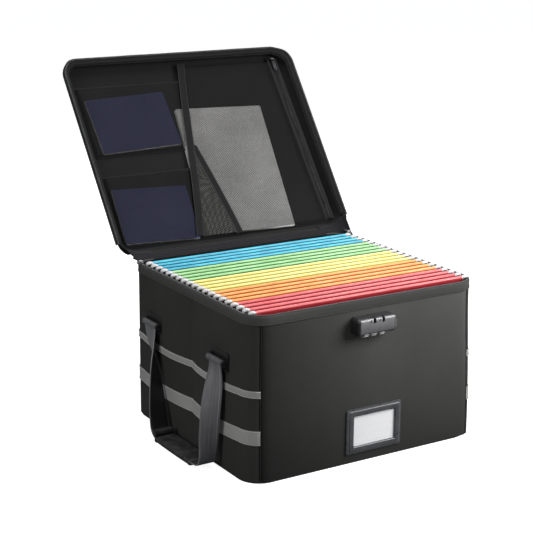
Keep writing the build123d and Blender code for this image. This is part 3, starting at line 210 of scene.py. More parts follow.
def net(name, light, dark, cell, cover):
    """Open knitted net: diagonal threads round small holes."""
    s = Shader(name)
    place = s.place("UV")
    slant = s.turned(place, 45.0)
    top = s.sums("MAXIMUM", s.bands(slant, cell, "X"), s.bands(slant, cell, "Y"))
    thread = s.uneven(s.blend(s.times(top, s.grain(place, 900.0, 2.0)), dark, light), 12.0, 0.8, 1.1, 0.5)
    return s.finish(Base_Color=thread, Alpha=s.spread(top, cover, cover + 0.16), Roughness=0.6,
                    Normal=s.bump(top, 0.0004, 0.8), Specular_IOR_Level=0.08)


def moulded(name, base, wear_and_highlight, rough=0.35, grain_scale=1800.0, depth=0.00012, coat=0.0, flecks=0.35, painted_light_and_shade=False):
    """Moulded plastic: fine grain, uneven gloss, rubbed places and lighter edges, partly wear and partly painted
    highlight. The last option paints shade on its foot, its left end and its top, and light higher up.
    """
    s = Shader(name)
    place = s.place()
    broad = s.grain(place, 55.0, 4.0, 0.65)
    rub = s.spread(broad, 0.42, 0.72, 0.0, flecks)
    # Edges lighter by pointiness: partly rubbed wear, partly painted highlight.
    edges = s.spread(s.add("NewGeometry", output="Pointiness"), 0.5, 0.56, 0.0, 0.6)
    plastic = s.blend(s.sums("ADD", rub, edges, True), base, wear_and_highlight)
    if painted_light_and_shade:
        # Painted light and shade: darker at the foot, lighter higher up, near black on top and at the left end.
        across, high = (s.axis(s.place("Generated"), index) for index in (0, 2))
        painted_height_tone = s.times(s.spread(high, 0.1, 0.9, 0.55, 1.5), s.spread(high, 0.93, 0.985, 1.0, 0.15))
        plastic = s.toned(plastic, s.times(painted_height_tone, s.spread(across, 0.015, 0.07, 0.1, 1.0)))
    return s.finish(Base_Color=plastic, Roughness=s.spread(broad, 0.3, 0.7, rough - 0.08, rough + 0.12),
                    Normal=s.bump(s.grain(place, grain_scale, 3.0, 0.6), depth, 0.6), Coat_Weight=coat)


def metal(name, light, dark, rough=0.28):
    """Plated metal: brushed scratches and darker patches."""
    s = Shader(name)
    brush = s.grain(s.turned(s.place(), 0.0, (1, 12, 1)), 420.0, 3.0, 0.7)
    plate = s.blend(s.spread(s.grain(s.place(), 90.0, 3.0), 0.35, 0.7), light, dark)
    return s.finish(Base_Color=plate, Roughness=s.spread(brush, 0.3, 0.7, rough - 0.08, rough + 0.14),
                    Normal=s.bump(brush, 0.00006, 0.5), Metallic=1.0)


def sheet_stock(name, light, base, dark, rough=0.8, fibre=700.0, hem=0.0):
    """Folder and paper stock: short fibres and soft mottling; folders also take painted light and shade at their
    ridges.

    hem is how high a folder's ridges reach: their tops take a painted highlight, painted shade darkens them below it,
    and the leaf below takes more painted shade.
    """
    s = Shader(name)
    place = s.place()
    fibres = s.grain(s.turned(place, 0.0, (0.35, 1, 1)), fibre, 3.0, 0.6)
    stock = s.blend(s.spread(s.grain(place, 24.0, 4.0, 0.6), 0.3, 0.75), base, light)
    stock = s.blend(s.spread(fibres, 0.52, 0.75, 0.0, 0.3), stock, dark)
    if hem:
        # Painted highlight on the ridges' tops, painted shade below them and down the leaf.
        high = s.axis(place, 2)
        stock = s.blend(s.spread(high, hem - 0.0008, hem - 0.0001), stock, light)
        stock = s.blend(s.spread(high, hem - 0.0032, hem - 0.0018, 1.0, 0.0), stock, dark)
        stock = s.toned(stock, s.spread(high, hem - 0.045, hem - 0.0034, 0.55, 1.0))
    return s.finish(Base_Color=stock, Roughness=s.spread(fibres, 0.3, 0.7, rough - 0.06, rough + 0.1),
                    Normal=s.bump(fibres, 0.00008, 0.5))


def card_stock():
    """White card with faint wavy printed lines."""
    s = Shader("label card")
    inputs = {"Vector": s.place(), "Scale": 26.0, "Distortion": 3.0, "Detail": 1.0, "Detail Scale": 14.0}
    waves = s.add("TexWave", inputs, "Fac", wave_type="BANDS", bands_direction="Z")
    fibres = s.grain(s.place(), 1200.0, 2.0)
    card = s.blend(s.spread(waves, 0.92, 1.0, 0.0, 0.07), "f4f4f6", "b4b4b8")
    card = s.blend(s.spread(fibres, 0.55, 0.85, 0.0, 0.02), card, "d8d8d8")
    return s.finish(Base_Color=card, Roughness=0.6, Normal=s.bump(fibres, 0.00005, 0.4))


def window_film():
    """Clear film with faint scuffs."""
    s = Shader("label window")
    scuffs = s.grain(s.turned(s.place(), 0.0, (8, 1, 1)), 220.0, 4.0, 0.7)
    return s.finish(Base_Color=s.blend(scuffs, "f4f6f8", "ffffff"), Roughness=s.spread(scuffs, 0.35, 0.75, 0.06, 0.22),
                    Alpha=s.spread(scuffs, 0.4, 0.8, 0.015, 0.03), IOR=1.45)


# Front and rear cloth take painted shade, darker towards the left and the foot.
front_cloth = woven("cover cloth", "60605d", "363635", sheen=0.04, gloss=0.25, depth=0.0003,
                    painted_falloff=(-0.215, 0.01, -0.06, 0.25, 0.16))
side_cloth = woven("side cloth", "3f3f3d", "232322", sheen=0.02, gloss=0.15, depth=0.0002)
lid_cloth = woven("lid cloth", "464644", "262626", sheen=0.03, depth=0.0002)
base_cloth = woven("base cloth", "3a3a3b", "1a1a1c", 0.0024, flat=False, sheen=0.2)
lining_cloth = woven("box lining cloth", "232125", "101012", 0.0018, twill=False)
lid_lining_cloth = woven("lid lining cloth", "202020", "0e0e0f", 0.0024, twill=False)
rim_cloth = woven("rim cloth", "545452", "303030", twill=False, sheen=0.03, depth=0.0002)
hinge_cloth = woven("hinge cloth", "29282b", "131214", 0.0018)
booklet_cover = woven("booklet cover", "43456a", "2a2c48", 0.0011, twill=False, sheen=0.0, rough=0.5, spots=0.3)
notebook_cover = woven("notebook cover", "d4d3d1", "8e8d8b", 0.0019, twill=False, sheen=0.0, rough=0.6, spots=1.2)
seam_thread = woven("seam thread", "c9c9c7", "8a8a8a", 0.0012, flat=False, twill=False)
# Light thread for the grip's stitches, whose lightness also stands in for painted highlight along the grip's edges.
grip_thread_and_highlight = woven("grip thread and highlight", "8a8a8c", "4a4a4c", 0.0012, flat=False, twill=False, sheen=0.0)
zip_cord = woven("zip tape edge", "3c3c3c", "1b1b1b", 0.0012, flat=False, twill=False)
binding_tape = ribbed("binding tape", "262627", "0c0c0d", sheen=0.08)
grey_tape = ribbed("grey tape", "b4b4b2", "7e7e7d", 0.0016, sheen=0.1, rough=0.75)
band_tape = ribbed("elastic band", "1b1b1c", "070708", 0.0022, sheen=0.03)
pocket_hem = ribbed("pocket hem", "2f2e30", "121213", sheen=0.0, gloss=0.05)
band_edge = ribbed("band edge tape", "4c4b4e", "242326", across="X")
zip_tape = ribbed("zip tape", "242325", "0c0c0d", 0.0012, across="X")
webbing = ribbed("handle webbing", "86868a", "3a3a3d", 0.0015, "X", 0.1, 0.34, 0.45, (0.0305, 0.0012, "8e8e91"))
pocket_net = net("pocket net", "2d2d2d", "101010", 0.0024, 0.76)
corner_net = net("corner net", "4c4c48", "1f1f1d", 0.0028, 0.45)
zip_teeth = moulded("zip teeth", "29292a", "5c5c5e", 0.4)
black_teeth = moulded("black zip teeth", "222224", "5d5d60", 0.34)
grip_skin = moulded("grip skin", "1d1d1e", "5c5c5d", 0.48, 1400.0, 0.0002)
anchor_plastic = moulded("anchor plastic", "101011", "2a2a2b", 0.36)
buckle_plastic = moulded("buckle plastic", "29292a", "68686a", 0.25, coat=0.4)
# The lock shell takes painted light and shade.
lock_plastic = moulded("lock shell", "29292a", "7e7e81", 0.32, coat=0.25, flecks=0.15, painted_light_and_shade=True)
dial_plastic = moulded("lock dial", "4a4a4b", "c8c8c8", 0.25, coat=0.3)
button_plastic = moulded("lock button", "3a3a3b", "808080")
label_plastic = moulded("label frame", "434447", "a4a5a8", 0.3, coat=0.4, flecks=0.06)
rail_plastic = moulded("rail", "121213", "3a3a3b", 0.4)
hook_plastic = moulded("folder hook", "a9aaab", "dcdcdd", coat=0.25, flecks=0.3)
dark_metal = metal("dark slider plate", "88888b", "2c2c2e")
slider_metal = metal("zip slider plate", "b9b9bc", "58585b")
screw_metal = metal("screw steel", "b9b9bb", "6a6a6c", 0.35)
wall_board = sheet_stock("stiffener board", "3b3b3c", "303031", "222223")
page_edges = sheet_stock("page edges", "e6e4de", "cfccc4", "a09d95", 0.75, 1500.0)
page_shade = sheet_stock("notebook pages", "6a6965", "55544f", "3c3b38", 0.8, 1500.0)

HEM_LOW, HEM_HIGH = 243.4, 252.4
# Each colour is light, base and dark; light also gives the ridges' painted highlight and dark their painted shade.
FOLDER_COLOURS = {  # from the front of the box to its rear, two folders each
    "red": ("f07579", "dc4549", "98151f"),
    "orange": ("ffb566", "f08f36", "b8590a"),
    "yellow": ("fff3a2", "eedc70", "b8a638"),
    "green": ("b6eaa8", "7cbe72", "2c6628"),
    "blue": ("58d2ec", "1394b8", "055068"),
}
folder_stock = {key: sheet_stock("folder " + key, *codes, rough=0.42, fibre=260.0, hem=HEM_HIGH * MM)
                for key, codes in FOLDER_COLOURS.items()}

# Materials of the CAD nodes that show as they are
for material, nodes in (
    (wall_board, "wall_boards bottom_board lid_board"),
    (rail_plastic, "folder_rails"),
    (lock_plastic, "lock_housing"),
    (dial_plastic, "lock_dial_1 lock_dial_2 lock_dial_3"),
    (button_plastic, "lock_button"),
    (screw_metal, "lock_screws lock_spindle"),
    (card_stock(), "label_card"),
    (window_film(), "label_window"),
    (buckle_plastic, "handle_buckles_left handle_buckles_right"),
    (anchor_plastic, "handle_anchors_left handle_anchors_right"),
    (slider_metal, "zip_slider_left zip_slider_right zip_pull_left zip_pull_right"),
    (dark_metal, "pocket_zip_slider pocket_zip_pull"),
    (base_cloth, "bottom_panel"),
):
    for node in nodes.split():
        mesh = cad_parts[node].data
        for index in range(len(mesh.materials)):
            mesh.materials[index] = material


# ---------------------------------------------------------------- mesh code
def unit(v):
    return v / v.length if v.length else v


def smoothstep(x):
    x = min(1.0, max(0.0, x))
    return x * x * (3 - 2 * x)


def bell(x, width):
    return math.exp(-((x / width) ** 2))


def ripple(*place):
    return noise.noise(Vector(place))


def spaced(low, high, step):
    count = max(1, round(abs(high - low) / step))
    return [low + (high - low) * i / count for i in range(count + 1)]


def heading(points, i):
    """Direction of a line of points at one of them."""
    return unit(points[min(i + 1, len(points) - 1)] - points[max(i - 1, 0)])


def lid_point(x, v, n):
    """Row-frame point of a place in the lid: across, up it from the hinge, and along its inward normal.

    The cloth is pulled a little to the right at the free edge.
    """
    x += v / LID_LENGTH * (8.5 * smoothstep((x - 197.0) / 14.0) + 2.5 * smoothstep((-x - 200.0) / 12.0))
    s, c = math.sin(LID_ANGLE), math.cos(LID_ANGLE)
    return Vector((x, HALF_Y - c * v - s * n, HEIGHT + s * v - c * n))


def in_lid(rows):
    return [[lid_point(*p) for p in row] for row in rows]


def lid_flat(point):
    """Flat place of a lid point: across and up, in metres."""
    y, z = point[1] - HALF_Y, point[2] - HEIGHT
    return (point[0] * MM, (math.sin(LID_ANGLE) * z - math.cos(LID_ANGLE) * y) * MM)


def piece(name, verts, faces, body, material, nodes=(), corners=None, sharp=40.0):
    """Make a mesh piece from points in millimetres, ride it on a body, and let it replace CAD nodes."""
    mesh = bpy.data.meshes.new(name)
    mesh.from_pydata([[c * MM for c in v] for v in verts], [], faces)
    mesh.validate()
    mesh.shade_smooth()
    mesh.set_sharp_from_angle(angle=math.radians(sharp))
    if corners and len(corners) == len(mesh.loops):
        layer = mesh.uv_layers.new(name="flat")
        for loop, uv in zip(layer.data, corners):
            loop.uv = uv
    obj = bpy.data.objects.new(name, mesh)
    bpy.context.collection.objects.link(obj)
    mesh.materials.append(material)
    if body:
        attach(obj, body)
    if nodes:
        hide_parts(*nodes)
    return obj


def lengths(points, closed=False):
    """Running length along points, in metres."""
    run = [0.0]
    line = list(points) + ([points[0]] if closed else [])
    for a, b in zip(line, line[1:]):
        run.append(run[-1] + (Vector(b) - Vector(a)).length * MM)
    return run


def shell(rows, closed=False, caps=(), flat=None, origin=0, flip=False):
    """Verts, faces and per-corner flat places of a grid of rows. caps has 0 or -1 for each end row to close."""
    count = len(rows[0])
    verts = [tuple(p) for row in rows for p in row]
    along = lengths(rows[len(rows) // 2], closed)
    up = max((lengths([row[j] for row in rows]) for j in (0, count // 2)), key=lambda run: run[-1])
    faces, corners = [], []
    for i in range(len(rows) - 1):
        for j in range(count if closed else count - 1):
            k = (j + 1) % count
            quad = [(i, j, j), (i, k, j + 1), (i + 1, k, j + 1), (i + 1, j, j)]
            if flip:
                quad.reverse()
            faces.append([origin + r * count + c for r, c, _ in quad])
            corners += [flat(rows[r][c]) if flat else (along[run], up[r]) for r, c, run in quad]
    for end in caps:
        row = end % len(rows)
        loop = list(range(count))
        if (end == 0) != flip:
            loop.reverse()
        faces.append([origin + row * count + c for c in loop])
        corners += [flat(rows[row][c]) if flat else (along[c], up[row]) for c in loop]
    return verts, faces, corners


def solid(rows, flip=False, **options):
    """Rows and options of a shell that is closed round its rows and at both ends."""
    return rows, {"closed": True, "caps": (0, -1), "flip": flip, **options}


def gathered(name, shells, body, material, nodes=(), sharp=40.0):
    """One piece from several shells."""
    verts, faces, corners = [], [], []
    for rows, options in shells:
        v, f, c = shell(rows, origin=len(verts), **options)
        verts += v
        faces += f
        corners += c
    return piece(name, verts, faces, body, material, nodes, corners, sharp)


def surface(name, rows, body, material, slot, nodes=(), thick=0.0, **options):
    """A piece from one grid of rows, with an optional thickness in millimetres behind it."""
    obj = gathered(name, [(rows, options)], body, material, nodes)
    if thick:
        modifier = obj.modifiers.new("thickness", "SOLIDIFY")
        modifier.thickness = thick * MM
        modifier.offset = -1.0
    return obj


def rounded(width, height, radius, steps):
    """Outline of a rounded rectangle, anticlockwise."""
    points = []
    for quarter, (sx, sy) in enumerate(((1, 1), (-1, 1), (-1, -1), (1, -1))):
        for step in range(steps + 1):
            turn = math.radians(90 * (quarter + step / steps))
            points.append((sx * (width / 2 - radius) + radius * math.cos(turn),
                           sy * (height / 2 - radius) + radius * math.sin(turn)))
    return points


def circle(radius, steps, middle=(0.0, 0.0), shut=False):
    """Points round a circle. shut repeats the first one at the end."""
    turns = [math.tau * i / steps for i in range(steps + shut)]
    return [(middle[0] + radius * math.cos(t), middle[1] + radius * math.sin(t)) for t in turns]


def tube(path, radius, steps=8):
    """Rows of a round tube along points."""
    rows = []
    for i, p in enumerate(path):
        way = heading(path, i)
        side = unit(way.cross(UP if abs(way.dot(UP)) < 0.98 else Vector((1, 0, 0))))
        rise = unit(side.cross(way))
        rows.append([p + side * a + rise * b for a, b in circle(radius, steps)])
    return rows


def dashes(line, pitch, start, stop):
    """Both ends of each stitch along a line of points. start and stop are shares of the pitch."""
    for a, b in zip(line, line[1:]):
        count = max(1, int((b - a).length / pitch))
        for k in range(count):
            yield a.lerp(b, (k + start) / count), a.lerp(b, (k + stop) / count)


def squared(side, end, x, y, z=HEIGHT):
    """Unit corner place, drawn out towards a square where the cloth is pulled taut over that corner."""
    power = 2.0 / {(1, -1): 4.0 - 2.0 * smoothstep(z / 235.0), (-1, 1): 2.6}.get((side, end), 2.0)
    return max(0.0, x) ** power, max(0.0, y) ** power


def ring(half_x, low, high, radius, step, arc, taut=False):
    """Rounded rectangle as (x, y, outward x, outward y), anticlockwise from the middle of the low side."""
    x, near, far = half_x - radius, low + radius, high - radius
    points = []
    for line, out, corner in (
        ([(p, low) for p in spaced(0, x, step)], (0, -1), (1, -1, near, -90)),
        ([(half_x, p) for p in spaced(near, far, step)], (1, 0), (1, 1, far, 0)),
        ([(p, high) for p in spaced(x, -x, step)], (0, 1), (-1, 1, far, 90)),
        ([(-half_x, p) for p in spaced(far, near, step)], (-1, 0), (-1, -1, near, 180)),
        ([(p, low) for p in spaced(-x, 0, step)], (0, -1), None),
    ):
        points += [(*p, *out) for p in line[:-1]]
        if corner:
            side, end, y, start = corner
            for i in range(arc):
                turn = math.radians(start + 90 * i / arc)
                ox, oy = math.cos(turn), math.sin(turn)
                px, py = squared(side, end, abs(ox), abs(oy)) if taut else (abs(ox), abs(oy))
                points.append((side * (x + radius * px), y + end * radius * py, ox, oy))
    return points


# ---------------------------------------------------------------- box: side walls
def fullness(z, power):
    """How full a wall is at one height: nothing at its foot and below the rim, and most between them."""
    return max(0.0, math.sin(math.pi * (z - PANEL_LOW) / (PANEL_HIGH - PANEL_LOW))) ** power


def side_swell(y, z):
    """How far a side wall stands out of its flat place: two soft halves and a crease between them."""
    away = abs(y - FOLD_Y)
    if away < FOLD_HALF:
        return side_swell(FOLD_Y + FOLD_HALF, z) - FOLD_DEEP * (1 - away / FOLD_HALF) ** 0.85
    reach = HALF_Y - CORNER - (FOLD_Y if y > FOLD_Y else -FOLD_Y)
    share = min(1.0, (away - FOLD_HALF) / (reach - FOLD_HALF))
    height = fullness(z, 0.7)
    pressed = bell(z - ANCHOR_Z, 26) * bell(abs(y) - ANCHOR_Y, 40)
    swell = (SWELL_LEAST + SWELL_MORE * height) * (1 - 0.62 * pressed)
    return (swell + ripple(y * 0.02, z * 0.016, 3.1) * 1.3 * height) * 4 * share * (1 - share)


SIDE_STEPS = (
    spaced(-(HALF_Y - CORNER), FOLD_Y - FOLD_HALF, 7.0)
    + [FOLD_Y + off for off in (-4.4, -2.8, -1.4, -0.5, 0.5, 1.4, 2.8, 4.4)]
    + spaced(FOLD_Y + FOLD_HALF, HALF_Y - CORNER, 7.0)
)


def corner_arc(side, end, start, stop, out, steps, z=HEIGHT):
    """Points round a box corner, 0 degrees on the front or rear wall and 90 on the side wall."""
    points = []
    for i in range(steps + 1):
        turn = math.radians(start + (stop - start) * i / steps)
        x, y = squared(side, end, math.sin(turn), math.cos(turn), z)
        points.append((side * (HALF_X - CORNER + (CORNER + out) * x), end * (HALF_Y - CORNER + (CORNER + out) * y)))
    return points


def side_line(side, z, out=0.0):
    """Side wall from the front seam to the rear seam at one height."""
    line = corner_arc(side, -1, SEAM, 90, out, 9, z)[:-1]
    line += [(side * (HALF_X + side_swell(y, z) + out), y) for y in SIDE_STEPS]
    line += corner_arc(side, 1, 90, SEAM, out, 9, z)[1:]
    return [Vector((x, y, z)) for x, y in line]


def tucked(rows, depth=1.6):
    """Draw the first and last columns of rows inwards a little, as at a sewn seam."""
    for row in rows:
        for edge in (0, -1):
            p = row[edge]
            row[edge] = p + Vector((-p.x, -p.y, 0)).normalized() * depth
    return rows


LEVELS = [PANEL_LOW, 2.2, 5.0] + spaced(12.0, 226.0, 9.0) + [231.0, 234.0, PANEL_HIGH]
STRIP_OUT = 0.9
STRIP_EDGE = ((0.4, 0.05), (0.0, 0.25), (0.0, 0.6), (0.5, STRIP_OUT))  # how far in from the strip's edge, and out
for label, side in SIDES:
    rows = tucked([side_line(side, z) for z in LEVELS])
    surface(f"side_skin_{label}", rows, "box", side_cloth, "side_fabric", [f"{label}_side_panel"], CLOTH_THICK,
            flip=side < 0)
    strips, stitching = [], []
    for low, high in GREY_STRIPS:
        profile = [(low + off, out) for off, out in STRIP_EDGE]
        profile += [(z, STRIP_OUT) for z in spaced(low + 4, high - 4, 4.0)]
        profile += [(high - off, out) for off, out in STRIP_EDGE[::-1]]
        strips.append((tucked([side_line(side, z, out) for z, out in profile], 1.2), {"flip": side < 0}))
        for z in (low + 1.0, high - 1.0):
            for p, q in dashes(side_line(side, z, 1.0), 3.4, 0.06, 0.9):
                stitching.append(solid(tube([p, p.lerp(q, 0.5) + Vector((side * 0.25, 0, 0)), q], 0.42, 5)))
    gathered(f"side_strips_{label}", strips, "box", grey_tape, [f"grey_strips_{label}"])
    gathered(f"strip_stitching_{label}", stitching, "box", seam_thread)


# ---------------------------------------------------------------- box: front and rear walls, lining
def face_line(end, z):
    """Front or rear wall from its left seam to its right seam at one height."""
    height = fullness(z, 0.6)
    half = HALF_X - CORNER
    line = corner_arc(-1, end, SEAM, 0, 0.0, 5, z)[:-1]
    for x in spaced(-half, half, 12.0):
        share = (x + half) / (2 * half)
        swell = 1.3 * 4 * share * (1 - share) * height
        swell += 0.9 * ripple(x * 0.013, z * 0.012, 7.7 * end) * height * min(1, 6 * share * (1 - share))
        if end < 0:
            # The cloth lies flat behind the lock, and where the card slides out of the label frame
            quiet = bell(x, 60) * bell(z - 210, 40)
            quiet += bell(max(0.0, abs(x - 10) - 44), 40) * bell(max(0.0, abs(z - 80) - 62), 30)
            swell *= max(0.0, 1 - quiet)
        line.append((x, end * (HALF_Y + swell)))
    line += corner_arc(1, end, 0, SEAM, 0.0, 5, z)[1:]
    return [Vector((x, y, z)) for x, y in line]


for label, end in (("front", -1), ("rear", 1)):
    rows = tucked([face_line(end, z) for z in LEVELS])
    surface(f"{label}_skin", rows, "box", front_cloth, "cover_fabric", [f"{label}_panel"], CLOTH_THICK, flip=end > 0)

# Corner seams: a fine welt of the base cloth where the walls are sewn together
welts = []
for side, end in ((-1, -1), (-1, 1), (1, -1), (1, 1)):
    path = [Vector((*corner_arc(side, end, SEAM, SEAM, -0.6, 1, z)[0], z))
            for z in spaced(PANEL_LOW + 1, PANEL_HIGH - 1, 10.0)]
    welts.append(solid(tube(path, 0.6)))
gathered("corner_welts", welts, "box", base_cloth)

# Lining bag, and its edge turned over the rim along the hinge
bag = []
for z in [246.2, 240.0] + spaced(230.0, 14.0, 18.0) + [8.0, 5.6]:
    row = []
    for x, y, ox, oy in ring(WALL_INNER_X + 0.4, -WALL_INNER_Y - 0.4, WALL_INNER_Y + 0.4, 28.9, 16.0, 5):
        inset = 0.25 + ripple(x * 0.03, y * 0.03, z * 0.02) * 0.35 + (2.5 if z < 6 else 0.6 if z < 9 else 0.0)
        row.append(Vector((x - ox * inset, y - oy * inset, z)))
    bag.append(row)
for share in (0.8, 0.5, 0.2):
    bag.append([Vector((p.x * share, p.y * share, 5.3)) for p in bag[-1]])
turned = [[Vector((x, y, z)) for x in spaced(-BEAD_HALF, BEAD_HALF, 15.0)]
          for y, z in ((175.2, 244.0), (175.2, 247.4), (175.5, 248.1), (176.4, 248.2), (178.4, 248.2), (178.9, 247.9))]
gathered("box_lining_bag", [(bag, {"closed": True, "caps": (-1,)}), (turned, {"flip": True})], "box", lining_cloth,
         ["box_lining"])


# ---------------------------------------------------------------- box: rim band and its zip
def rim_ring(step):
    return ring(HALF_X, -HALF_Y, HALF_Y, CORNER, step, 10, True)


def rim_rows(profile):
    """Carry a profile of (outward, height) round the box's rim, with a groove for the hinge's bead."""
    rows = []
    for out, z in profile:
        row = []
        for x, y, ox, oy in rim_ring(12.0):
            reach = out
            if y > HALF_Y - 0.5 and abs(x) < GROOVE_HALF and out > -GROOVE_DEEP and z > HEIGHT - GROOVE_DEEP:
                slope = -1.0 - (z - (HEIGHT - GROOVE_DEEP)) * 0.5
                reach = -GROOVE_DEEP if z > HEIGHT - 0.2 else min(out, slope)
            row.append(Vector((x + ox * reach, y + oy * reach, z)))
        rows.append(row)
    return rows


rim_profile = ((-0.9, 235.2), (0.2, 235.0), (0.6, 235.4), (0.8, 236.6), (0.85, 240.0), (0.85, 244.0), (0.7, 246.6),
               (0.3, 247.6), (-0.3, 248.0), (-2.5, 248.1), (-4.6, 248.0), (-5.3, 247.7), (-5.5, 246.6))
surface("rim_band_tape", rim_rows(rim_profile), "box", rim_cloth, "binding", ["rim_band"], closed=True)
surface("rim_welt", rim_rows(circle(0.75, 8, (0.6, 235.4), True)), "box", rim_cloth, "binding", closed=True)
outline = [Vector((x + ox * 0.9, y + oy * 0.9, 238.2)) for x, y, ox, oy in rim_ring(6.0)]
gathered("rim_stitching", [solid(tube(ends, 0.3, 5)) for ends in dashes(outline, 3.6, 0.15, 0.78)], "box", rim_cloth)


def rim_path(inset, rear_y):
    """Open path on the rim from the rear left, round the front, to the rear right."""
    radius = CORNER - inset
    x, front = HALF_X - inset, -HALF_Y + inset
    path = [(-x, y) for y in spaced(rear_y, front + radius, 8.0)]
    for side, start in ((-1, 180), (1, 270)):
        for i in range(1, 13):
            turn = math.radians(start + 90 * i / 12)
            path.append((side * (x - radius) + radius * math.cos(turn), front + radius + radius * math.sin(turn)))
        if side < 0:
            path += [(px, front) for px in spaced(-x + radius, x - radius, 8.0)][1:]
    path += [(x, y) for y in spaced(front + radius, rear_y, 8.0)][1:]
    return [Vector((x, y, HEIGHT)) for x, y in path]


TOOTH_PITCH, TOOTH_SHIFT = 2.0, 0.35
TOOTH_LEVELS = ((0.0, 1.0, 0.62), (0.65, 1.0, 0.62), (1.0, 0.62, 0.34))  # share of its height, reach and thickness


def teeth(name, points, up, rights, half, height, body, material, node):
    """Moulded zip teeth along a path: small wedges that reach across it, every other one set over."""
    verts, faces = [], []
    run, index, up = 0.0, 0, unit(up) * height
    for i, (a, b) in enumerate(zip(points, points[1:])):
        span, way = (b - a).length, unit(b - a)
        while run < span:
            mid, right = a.lerp(b, run / span), unit(rights[i].lerp(rights[i + 1], run / span))
            base = len(verts)
            shift = TOOTH_SHIFT if index % 2 else -TOOTH_SHIFT
            for level, grow, thick in TOOTH_LEVELS:
                for sx, sy in ((-1, -1), (1, -1), (1, 1), (-1, 1)):
                    verts.append(mid + right * (sx * half * grow + shift) + way * (sy * TOOTH_PITCH * thick / 2)
                                 + up * level)
            for low in (base, base + 4):
                faces += [[low + k, low + (k + 1) % 4, low + 4 + (k + 1) % 4, low + 4 + k] for k in range(4)]
            faces.append(list(range(base + 8, base + 12)))
            run += TOOTH_PITCH
            index += 1
        run -= span
    return piece(name, verts, faces, body, material, [node], sharp=30.0)


path = rim_path(1.9, 166.0)
rights = [Vector((way.y, -way.x, 0)) for way in (heading(path, i) for i in range(len(path)))]
teeth("rim_zip_teeth", path, UP, rights, 1.35, 1.75, "box", zip_teeth, "rim_zip_chain")
rows = [[p + right * off + UP * rise for p, right in zip(path, rights)]
        for off, rise in ((-4.0, 0.05), (-3.6, 0.55), (1.0, 0.55), (1.4, 0.05))]
surface("rim_zip_tape", rows, "box", zip_tape, "zip")


# ---------------------------------------------------------------- lid
def lid_size(level):
    """Half width, low edge, high edge and corner radius of the lid at a level along its inward normal."""
    share = (level - LID_TOP_LEVEL) / (LID_RIM_LEVEL - LID_TOP_LEVEL)
    return [size + gain * share for size, gain in zip(LID_FACE, LID_FLARE)]


def tray_ring(level, inset, step=12.0, arc=8):
    """Lid outline at a level, as (x, v, outward x, outward v)."""
    half, low, high, radius = lid_size(level)
    return ring(half - inset, low + inset, high - inset, max(3.0, radius - inset), step, arc)


TRAY_COUNT = 180
FACE_MIDDLE_V = 196.0


@functools.lru_cache(None)
def tray_row(level, inset):
    """A ring of the lid resampled to a fixed count, so that rings join."""
    points = tray_ring(level, inset)
    points.append(points[0])
    run = [0.0]
    for a, b in zip(points, points[1:]):
        run.append(run[-1] + math.hypot(b[0] - a[0], b[1] - a[1]))
    result, j = [], 0
    for i in range(TRAY_COUNT):
        target = run[-1] * i / TRAY_COUNT
        while run[j + 1] < target:
            j += 1
        t = (target - run[j]) / max(1e-9, run[j + 1] - run[j])
        result.append([a + (b - a) * t for a, b in zip(points[j], points[j + 1])])
    return result


def rim_level(x, v):
    """Level where the lid's wall ends: the rim on three sides, and a cut-away beside the hinge."""
    rear = 1 - smoothstep((v - 22.0) / 9.0)
    middle = 1 - smoothstep((abs(x) - NOTCH_X + 3.0) / 6.0)
    return LID_EDGE + (NOTCH_LEVEL - LID_EDGE) * rear * middle


def tray_rows(low, inset, shares, round_off, sway, crown):
    """Rings of a lid wall from its edge down to its face, and on to the middle of that face."""
    rows = []
    for share in shares:
        pull = round_off * (1 - math.sqrt(max(0.0, 1 - max(0.0, (share - 0.72) / 0.28) ** 2)))
        row = []
        for i, (x, v, ox, ov) in enumerate(tray_row(LID_EDGE, inset)):
            edge = rim_level(x, v)
            level = edge + (low - edge) * share
            ax, av = tray_row(round(level * 4) / 4, inset)[i][:2]
            off = pull - sway * ripple(ax * 0.02, av * 0.02, level * 0.03 + 5)
            row.append((ax - ox * off, av - ov * off, level))
        rows.append(row)
    last = rows[-1]
    for share in (0.97, 0.9, 0.75, 0.55, 0.35, 0.15, 0.05):
        row = []
        for x, v, _ in last:
            px, pv = x * share, FACE_MIDDLE_V + (v - FACE_MIDDLE_V) * share
            row.append((px, pv, low + crown * (1 - share * share) + 0.5 * ripple(px * 0.012, pv * 0.012, low)))
        rows.append(row)
    return in_lid(rows)


rows = tray_rows(LID_TOP_LEVEL, 0.0, (0.0, 0.1, 0.25, 0.45, 0.65, 0.75, 0.82, 0.88, 0.93, 0.97, 1.0), 5.0, 0.7, -1.6)
surface("lid_shell", rows, "lid", lid_cloth, "cover_fabric", ["lid_cover"], CLOTH_THICK, closed=True, caps=(-1,),
        flat=lid_flat)
rows = tray_rows(LINING_LEVEL, 2.0, (0.0, 0.2, 0.4, 0.6, 0.75, 0.85, 0.92, 0.97, 1.0), 4.0, 0.3, 0.3)
surface("lid_lining_cloth", rows, "lid", lid_lining_cloth, "lining_fabric", ["lid_lining"], closed=True, caps=(-1,),
        flat=lid_flat, flip=True)

